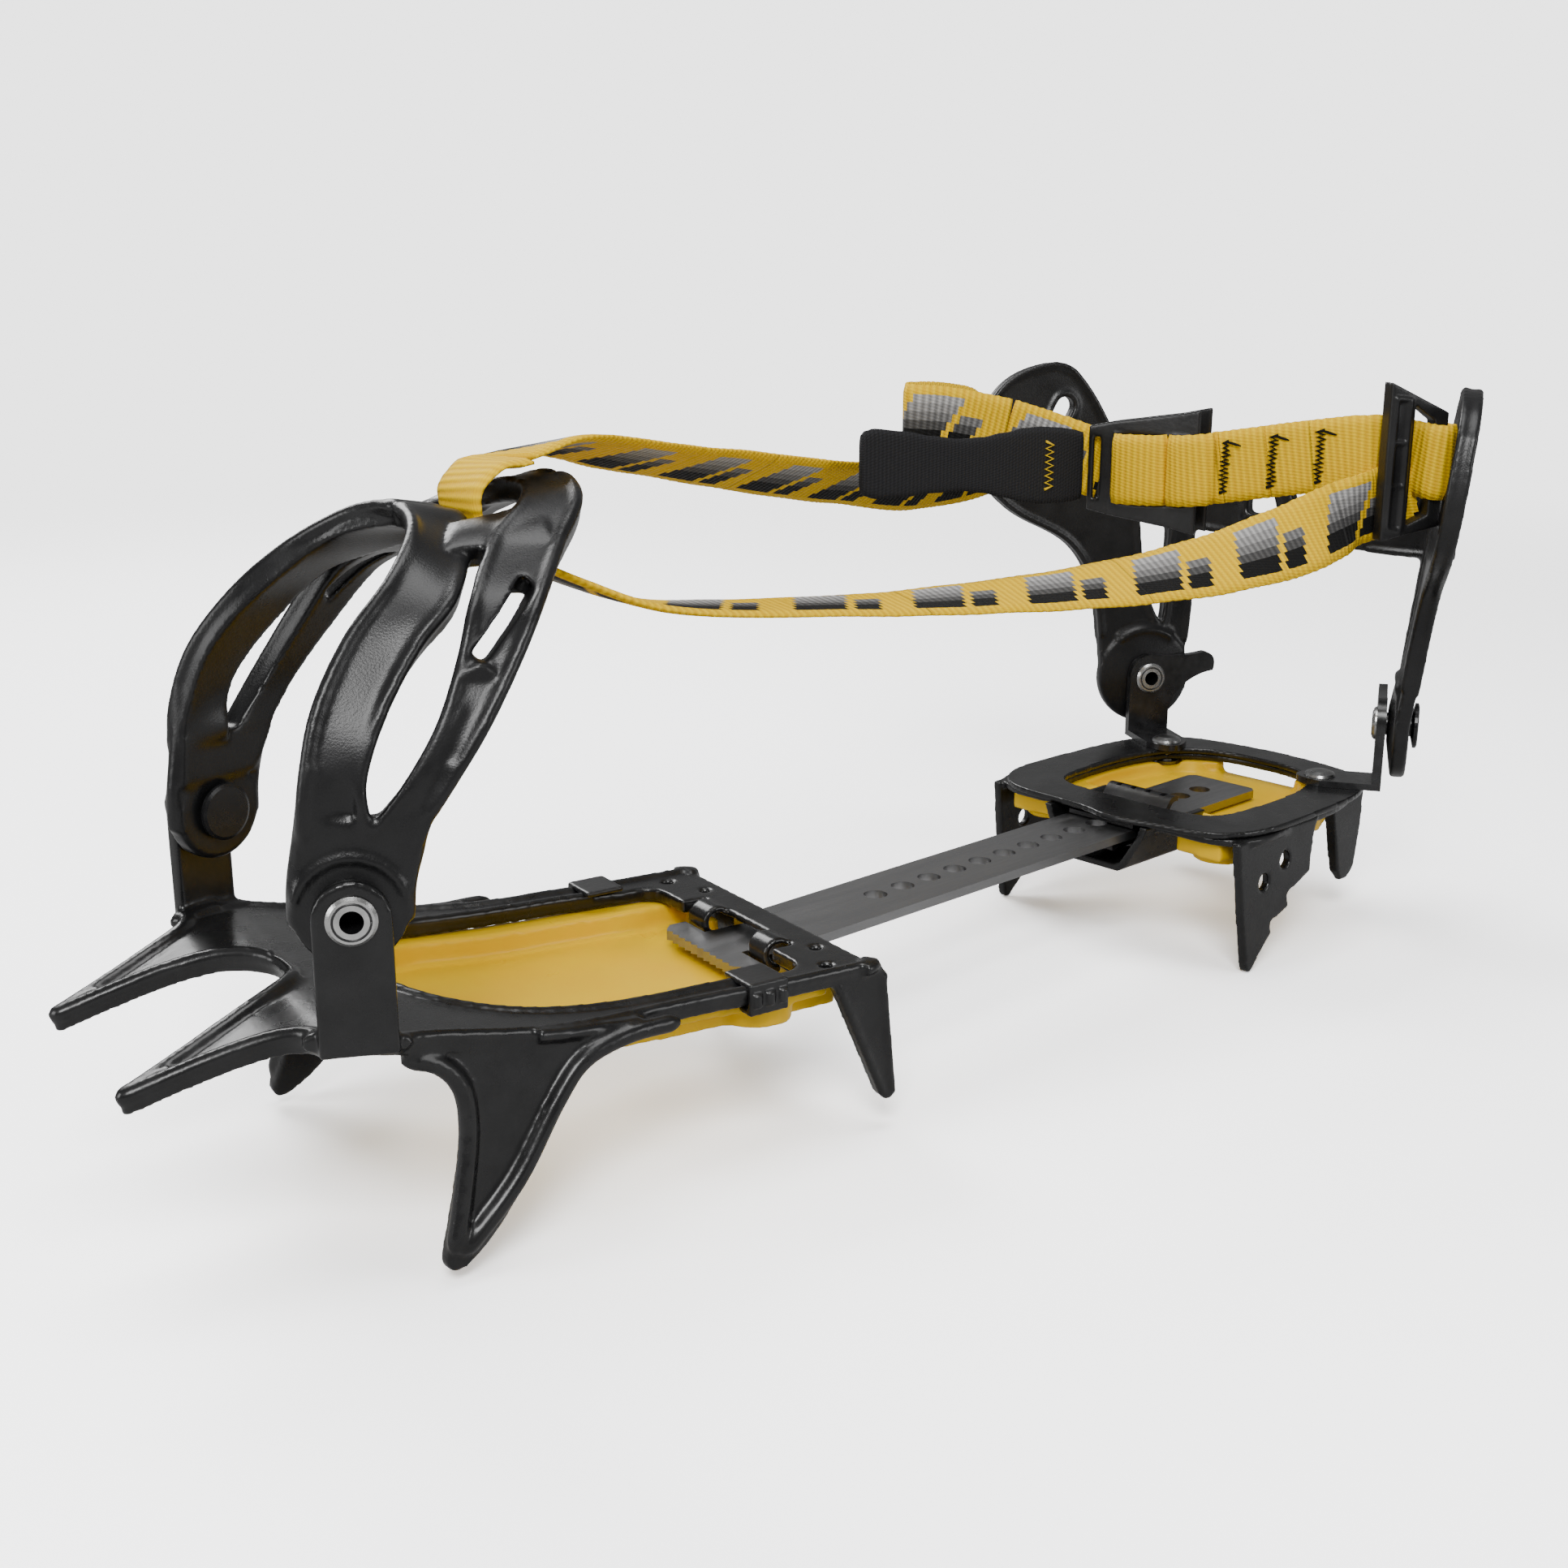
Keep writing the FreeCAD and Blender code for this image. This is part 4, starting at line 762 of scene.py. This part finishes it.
def dense(stations, step=3.0):
    """The same ribbon with a station about every step, so that cutting it leaves its shape alone."""
    points = [Vector(s[:3]) for s in stations]
    line = spline(points, step)
    out, k = [], 0
    for i in range(len(points) - 1):
        count = max(1, round((points[i + 1] - points[i]).length / step))
        a, b = Vector(stations[i][3:6]), Vector(stations[i + 1][3:6])
        for j in range(count):
            t = j / count
            w = a.lerp(b, t * t * (3 - 2 * t)).normalized()
            out.append((*line[k], *w))
            k += 1
    out.append((*line[k], *Vector(stations[-1][3:6]).normalized()))
    return out


def cut_at(stations, x):
    """Splits stations in two at a given x, both halves sharing the cut."""
    for i in range(len(stations) - 1):
        a, b = stations[i], stations[i + 1]
        if (a[0] - x) * (b[0] - x) <= 0 and a[0] != b[0]:
            t = (x - a[0]) / (b[0] - a[0])
            mid = tuple(p + (q - p) * t for p, q in zip(a, b))
            return stations[:i + 1] + [mid], [mid] + stations[i + 1:]
    return stations, []


NEAR = [(156.3, -53.0, 77.2, 5), (153.9, -50.3, 76.0, 5), (149.8, -47.0, 74.6, 5), (145.5, -46.0, 73.8, 5),
        (135, -44.6, 71.4, -18), (123.4, -42.6, 68.6, -35), (103, -37.9, 65.3, -55),
        (83, -31.6, 63.4, -66), (63, -25.8, 62.8, -74), (44, -20.4, 63.0, -80), (26, -15.4, 63.5, -85),
        (8, -10.6, 64.7, -88), (-9, -6.2, 66.0, -90), (-25, -1.6, 68.2, -94), (-39.5, 3.4, 74.0, -98),
        (-50.0, 7.6, 79.5, -102)]
FAR = [(-48, 10.0, 95.6, -84), (-34.5, 13.6, 96.8, -78), (-24, 16.8, 95.4, -74), (-12, 20, 92.8, -70),
       (3, 24.5, 90.0, -68), (23, 29, 86.4, -62), (47, 34, 82.0, -58), (70, 39, 78.4, -54),
       (104, 46.4, 74.4, -40), (134, 52.6, 76.0, -20), (157.5, 57.4, 79.4, -6)]


def long_strap(name, stations, node):
    """A strap from the toe cage to the heel cradle, in one piece for each joint it crosses."""
    whole = leaning(stations)
    if whole[0][0] > whole[-1][0]:
        whole = whole[::-1]
    whole = dense(whole)
    # where a piece ends, the two bodies it joins, and the stretch over which it passes between them
    cuts = [(4, "toe_cage", "front", -46, 4), (30, "front", "bar", 6, 30), (82, "bar", "heel", 30, 82)]
    if name == "strap_near":
        cuts += [(139, "heel", "cradle", 84, 120), (TO_THE_END, "cradle", "ring", 140, 150)]
    else:
        cuts += [(TO_THE_END, "heel", "cradle", 84, 99)]
    start, rest = 0.0, whole
    for i, (x, a, b, low, high) in enumerate(cuts):
        part, rest = cut_at(rest, x) if x < TO_THE_END else (rest, [])
        replaced = (node,) if i == 0 else ()
        bend = (a, b, (low, 0, 70), (high, 0, 70))
        start = strap_piece(f"{name}_{i + 1}", part, WEB, None, bend, start, replaced)


BUCKLE = Vector((131.0, 19.0, 79.0))
BUCKLE_ALONG = Vector((7.4, -27.8, 0)).normalized()
BUCKLE_FACE = Vector((BUCKLE_ALONG.y, -BUCKLE_ALONG.x, 0))


def by_buckle(u, w, z):
    """A point u along the buckle from its slotted end, w in front of it, at height z."""
    p = BUCKLE + BUCKLE_ALONG * u + BUCKLE_FACE * w
    return p.x, p.y, z


OPENING = ("buckle_front", "buckle_rear", by_buckle(33.8, 0, 81), by_buckle(44, 0, 81))
TURNING = ("buckle_rear", "cradle", by_buckle(44, 0, 81), by_buckle(54, 0, 81))


def build_straps():
    long_strap("strap_near", NEAR, "near_strap")
    long_strap("strap_far", FAR, "far_strap")
    y = (0.16, 0.987, 0.0)
    fold = [(-47.6, 9.6, 95.4, *y), (-53.0, 9.2, 94.8, *y), (-57.6, 8.8, 91.0, *y), (-57.2, 8.4, 85.8, *y),
            (-53.6, 8.0, 81.8, *y), (-49.0, 7.4, 79.2, *y)]
    strap_piece("strap_fold", fold, WEB_PLAIN, "toe_cage")
    up = (0, 0, 1)
    loop = [(150.6, 72.6, 84.0, *up), (140, 67.4, 86.6, *up), (118, 57.6, 89.4, *up), (101, 50.8, 90.7, *up),
            (96.2, 47.6, 90.7, *up), (97.4, 44.2, 90.6, *up), (104, 40.4, 89.8, *up), (116, 33.6, 87.0, *up)]
    at = strap_piece("strap_ankle", loop, WEB, "cradle", None, 0.0, ("ankle_loop",))
    tail = [(116, 33.6, 87.0, *up), (124.6, 27.0, 83.6, *up), (130.6, 20.5, 80.6, *up),
            (132.1, 16.2, 79.4, *up)]
    bend = ("cradle", "buckle_rear", (116, 33.6, 80), (127, 23, 80))
    strap_piece("strap_ankle_end", tail, WEB, None, bend, at, (), WIDTH, 0.9)
    humps = [(7.3, 3.2, 79.4), (9.0, 4.3, 79.4), (13, 4.9, 79.5), (17.5, 4.8, 79.6),
             (19.8, 4.0, 79.7), (20.7, 2.3, 79.8), (21.6, 4.2, 79.8), (24.5, 5.7, 80.0), (28.5, 6.1, 80.4),
             (31.4, 5.4, 80.8), (32.5, 3.2, 81.0), (33.8, 3.0, 81.2)]
    strap_piece("strap_humps", [(*by_buckle(*h), *up) for h in humps], WEB_PLAIN, "buckle_front")
    tacked = [((33.8, 3.0, 81.2), (38, 1.7, 81.9), (44, 0.4, 82.9)),
              ((44, 0.4, 82.9), (49, 0.1, 83.8), (54, -0.1, 84.6))]
    for k, (line, bend) in enumerate(zip(tacked, (OPENING, TURNING)), 1):
        strap_piece(f"strap_tacked_{k}", [(*by_buckle(*h), *up) for h in line], WEB_PLAIN, None, bend)
    last = [(*by_buckle(54, -0.1, 84.6), *up), (147.6, -41.2, 85.9, *up), (148.9, -44.6, 86.2, *up),
            (151.0, -46.4, 86.3, *up), (154.3, -49.2, 85.6, *up), (155.5, -52.8, 85.0, *up),
            (155.2, -57.0, 84.6, *up), (156.6, -59.3, 84.4, *up), (159.2, -59.8, 84.4, *up),
            (161.3, -58.2, 84.4, *up), (161.5, -55.4, 84.4, *up), (159.5, -52.2, 84.4, *up)]
    bend = ("cradle", "ring", (146.4, -37.6, 85), (148.8, -44.6, 85))
    strap_piece("strap_buckle", last, WEB_PLAIN, None, bend, 0.0, ("buckle_strap",))
    flap = [(162.3, -57.2, 82.4, *up), (165.0, -58.2, 82.0, *up), (167.7, -59.1, 81.6, *up)]
    strap_piece("strap_flap", flap, WEB_PLAIN, "cradle", None, 0.0, (), 9.0)


TAB_BOW = 1.6
TAB_WOVEN = 71.0


def build_tab():
    start, end = Vector((127.4, 19.2, 79.6)), Vector((54.2, 21.4, 85.6))
    shares = ((0, 8.0), (0.06, 8.6), (0.12, 8.9), (0.22, 9.0), (0.3, 8.6), (0.4, 7.4), (0.5, 6.3), (0.6, 5.8),
              (0.72, 6.3), (0.84, 7.2), (0.95, 7.6), (0.985, 7.0), (1, 6.0))
    verts, faces, coords = [], [], []
    along = (end - start).normalized()
    side = Vector((0, 0, 1)).cross(along).normalized()
    count, rows = 72, 12
    for i in range(count + 1):
        share = i / count
        for (sa, ha), (sb, hb) in zip(shares, shares[1:]):
            if share <= sb:
                t = (share - sa) / (sb - sa)
                half = ha + (hb - ha) * (t * t * (3 - 2 * t))
                break
        middle = start + (end - start) * share + Vector((0, -TAB_BOW * math.sin(math.pi * share), 0))
        for face in (1, -1):
            for j in range(rows + 1):
                v = (j / rows * 2 - 1) * face
                lift = 0.72 * (0.55 + 0.45 * (1 - abs(v) ** 8))
                verts.append((middle + Vector((0, 0, half * v)) + side * (face * lift)) * MM)
                coords.append((share * TAB_WOVEN, v * 0.5 + 0.5))
    ring = 2 * (rows + 1)
    for i in range(count):
        for j in range(ring):
            a, b = i * ring + j, i * ring + (j + 1) % ring
            faces.append((a, b, b + ring, a + ring))
    for base in (0, count * ring):
        faces.append(tuple(range(base, base + ring)))
    tab = new_object("tab_pull", verts, faces, TAB)
    layer = tab.data.uv_layers.new(name="strap")
    for loop in tab.data.loops:
        layer.data[loop.index].uv = coords[loop.vertex_index]
    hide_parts("pull_tab")
    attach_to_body(tab, "tab")
    zigzag = []
    for k in range(15):
        z = -5.6 + 11.2 * k / 14
        share = 0.165 if k % 2 else 0.205
        p = start + (end - start) * share + Vector((0, -TAB_BOW * math.sin(math.pi * share), 0))
        zigzag.append(p + Vector((0, 0, z)))
    for face in (1, -1):
        line = [p + side * (face * 0.85) for p in zigzag]
        stitch = tube("stitch_tab", line, 0.34, THREAD_YELLOW, 6)
        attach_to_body(stitch, "tab")


STITCH_STEP, STITCH_SWAY = 0.52, 0.75


def bar_tack(name, base, along, normal, height, body, bend):
    """A ragged zigzag line of thick thread across the webbing."""
    points = []
    count = int(height / STITCH_STEP)
    for k in range(count + 1):
        sway = (STITCH_SWAY if k % 2 else -STITCH_SWAY) + random.uniform(-0.3, 0.3)
        points.append(base + Vector((0, 0, k * STITCH_STEP - height / 2)) + along * sway + normal)
    attach(tube(name, points, 0.45, THREAD, 6), body, bend)


def attach(stitch, body, bend):
    if bend:
        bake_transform(stitch)
    else:
        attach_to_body(stitch, body)


def build_stitching():
    for face in (1, -1):
        lift = BUCKLE_FACE * (face * (THICK / 2 + 0.15))
        rows = ((34.8, 2.7, 81.4, OPENING), (45.2, 0.35, 83.1, TURNING), (55.8, -0.2, 84.8, None))
        for k, (u, w, z, bend) in enumerate(rows):
            base = Vector(by_buckle(u, w, z))
            bar_tack(f"tack_{k}", base, BUCKLE_ALONG, lift, 12.0, "cradle", bend)
            foot = [base + lift + Vector((0, 0, 5.9 - 0.3 * j)) + BUCKLE_ALONG * (1.2 * j) for j in range(4)]
            attach(tube(f"tack_foot_{k}", foot, 0.32, THREAD, 6, None, 0.5), "cradle", bend)


# ---------------------------------------------------------------- studio

FLOOR_SEEN, BACKDROP = 2.3, 3.0
FLOOR_HALF = 9
LAMPS = [
    ("key", (-0.55, -0.55, 0.75), 0.42, 10.0),
    ("fill", (0.45, -0.95, 0.35), 0.5, 3.0),
    ("back", (0.15, 0.85, 0.65), 0.5, 7.0),
    ("top", (0.05, 0.0, 1.0), 0.55, 5.0),
    ("left", (-0.85, 0.25, 0.30), 0.4, 3.0),
]
CAMERA_AT = Vector((-248.6, -276.0, 135.0)) * MM
CAMERA_YAW, CAMERA_PITCH = math.radians(46.74), math.radians(15.98)
CAMERA_LENS, CAMERA_SENSOR = 44.72, 36.0


def studio_floor():
    """Pale floor: bright to the camera, dimmer to the object, fading into the backdrop far away."""
    low = first_bounds[0][2] - 0.0002
    corners = [(x * FLOOR_HALF, y * FLOOR_HALF, low) for x, y in ((-1, -1), (1, -1), (1, 1), (-1, 1))]
    floor = new_object("floor", corners, [(0, 1, 2, 3)], BLACK, False)
    s = Shader("pale_floor")
    tree = s.tree
    paths = tree.nodes.new("ShaderNodeLightPath")
    seen = tree.nodes.new("ShaderNodeBsdfDiffuse")
    seen.inputs["Color"].default_value = (FLOOR_SEEN, FLOOR_SEEN, FLOOR_SEEN * 1.01, 1)
    bounce = tree.nodes.new("ShaderNodeBsdfDiffuse")
    bounce.inputs["Color"].default_value = (0.42, 0.42, 0.42, 1)
    far = tree.nodes.new("ShaderNodeEmission")
    far.inputs["Color"].default_value = (1, 1, 1, 1)
    far.inputs["Strength"].default_value = BACKDROP
    both = tree.nodes.new("ShaderNodeMixShader")
    s.link(paths.outputs["Is Camera Ray"], both.inputs[0])
    s.link(bounce.outputs[0], both.inputs[1])
    s.link(seen.outputs[0], both.inputs[2])
    place = tree.nodes.new("ShaderNodeNewGeometry").outputs["Position"]
    length = tree.nodes.new("ShaderNodeVectorMath")
    length.operation = "LENGTH"
    s.link(place, length.inputs[0])
    fade = tree.nodes.new("ShaderNodeMapRange")
    fade.interpolation_type = "SMOOTHSTEP"
    fade.inputs["From Min"].default_value = 0.30
    fade.inputs["From Max"].default_value = 1.1
    s.link(length.outputs["Value"], fade.inputs["Value"])
    share = s.math("MULTIPLY", fade.outputs[0], paths.outputs["Is Camera Ray"])
    whole = tree.nodes.new("ShaderNodeMixShader")
    s.link(share, whole.inputs[0])
    s.link(both.outputs[0], whole.inputs[1])
    s.link(far.outputs[0], whole.inputs[2])
    s.link(whole.outputs[0], tree.nodes["Material Output"].inputs["Surface"])
    paint(floor, s.material)


def build_world():
    """White to the camera, and a dim even light to everything else."""
    world = bpy.data.worlds.new("studio")
    bpy.context.scene.world = world
    world.use_nodes = True
    tree = world.node_tree
    paths = tree.nodes.new("ShaderNodeLightPath")
    seen = tree.nodes.new("ShaderNodeBackground")
    seen.inputs["Strength"].default_value = BACKDROP
    seen.inputs["Color"].default_value = (1, 1, 1, 1)
    soft = tree.nodes["Background"]
    soft.inputs["Color"].default_value = (1, 1, 1, 1)
    soft.inputs["Strength"].default_value = 0.26
    pick = tree.nodes.new("ShaderNodeMixShader")
    tree.links.new(paths.outputs["Is Camera Ray"], pick.inputs[0])
    tree.links.new(soft.outputs[0], pick.inputs[1])
    tree.links.new(seen.outputs[0], pick.inputs[2])
    tree.links.new(pick.outputs[0], tree.nodes["World Output"].inputs["Surface"])


def build_lamps():
    for name, place, size, power in LAMPS:
        data = bpy.data.lights.new(name, "AREA")
        data.size = size
        data.energy = power
        lamp = bpy.data.objects.new(name, data)
        bpy.context.collection.objects.link(lamp)
        lamp.location = place
        lamp.rotation_euler = (Vector((0.04, 0, 0.03)) - Vector(place)).to_track_quat("-Z", "Y").to_euler()


def build_camera():
    data = bpy.data.cameras.new("camera")
    data.lens = CAMERA_LENS
    data.sensor_width = CAMERA_SENSOR
    camera = bpy.data.objects.new("camera", data)
    bpy.context.collection.objects.link(camera)
    camera.location = CAMERA_AT
    level = math.cos(CAMERA_PITCH)
    ahead = Vector((math.cos(CAMERA_YAW) * level, math.sin(CAMERA_YAW) * level, -math.sin(CAMERA_PITCH)))
    camera.rotation_euler = ahead.to_track_quat("-Z", "Y").to_euler()
    bpy.context.scene.camera = camera


build_front_frame()
build_toe_cage()
build_heel()
build_plates()
build_rivets()
build_small_steel()
build_spring()
build_strap_ring()
build_buckle()
build_straps()
build_tab()
build_stitching()
studio_floor()
build_world()
build_lamps()
build_camera()
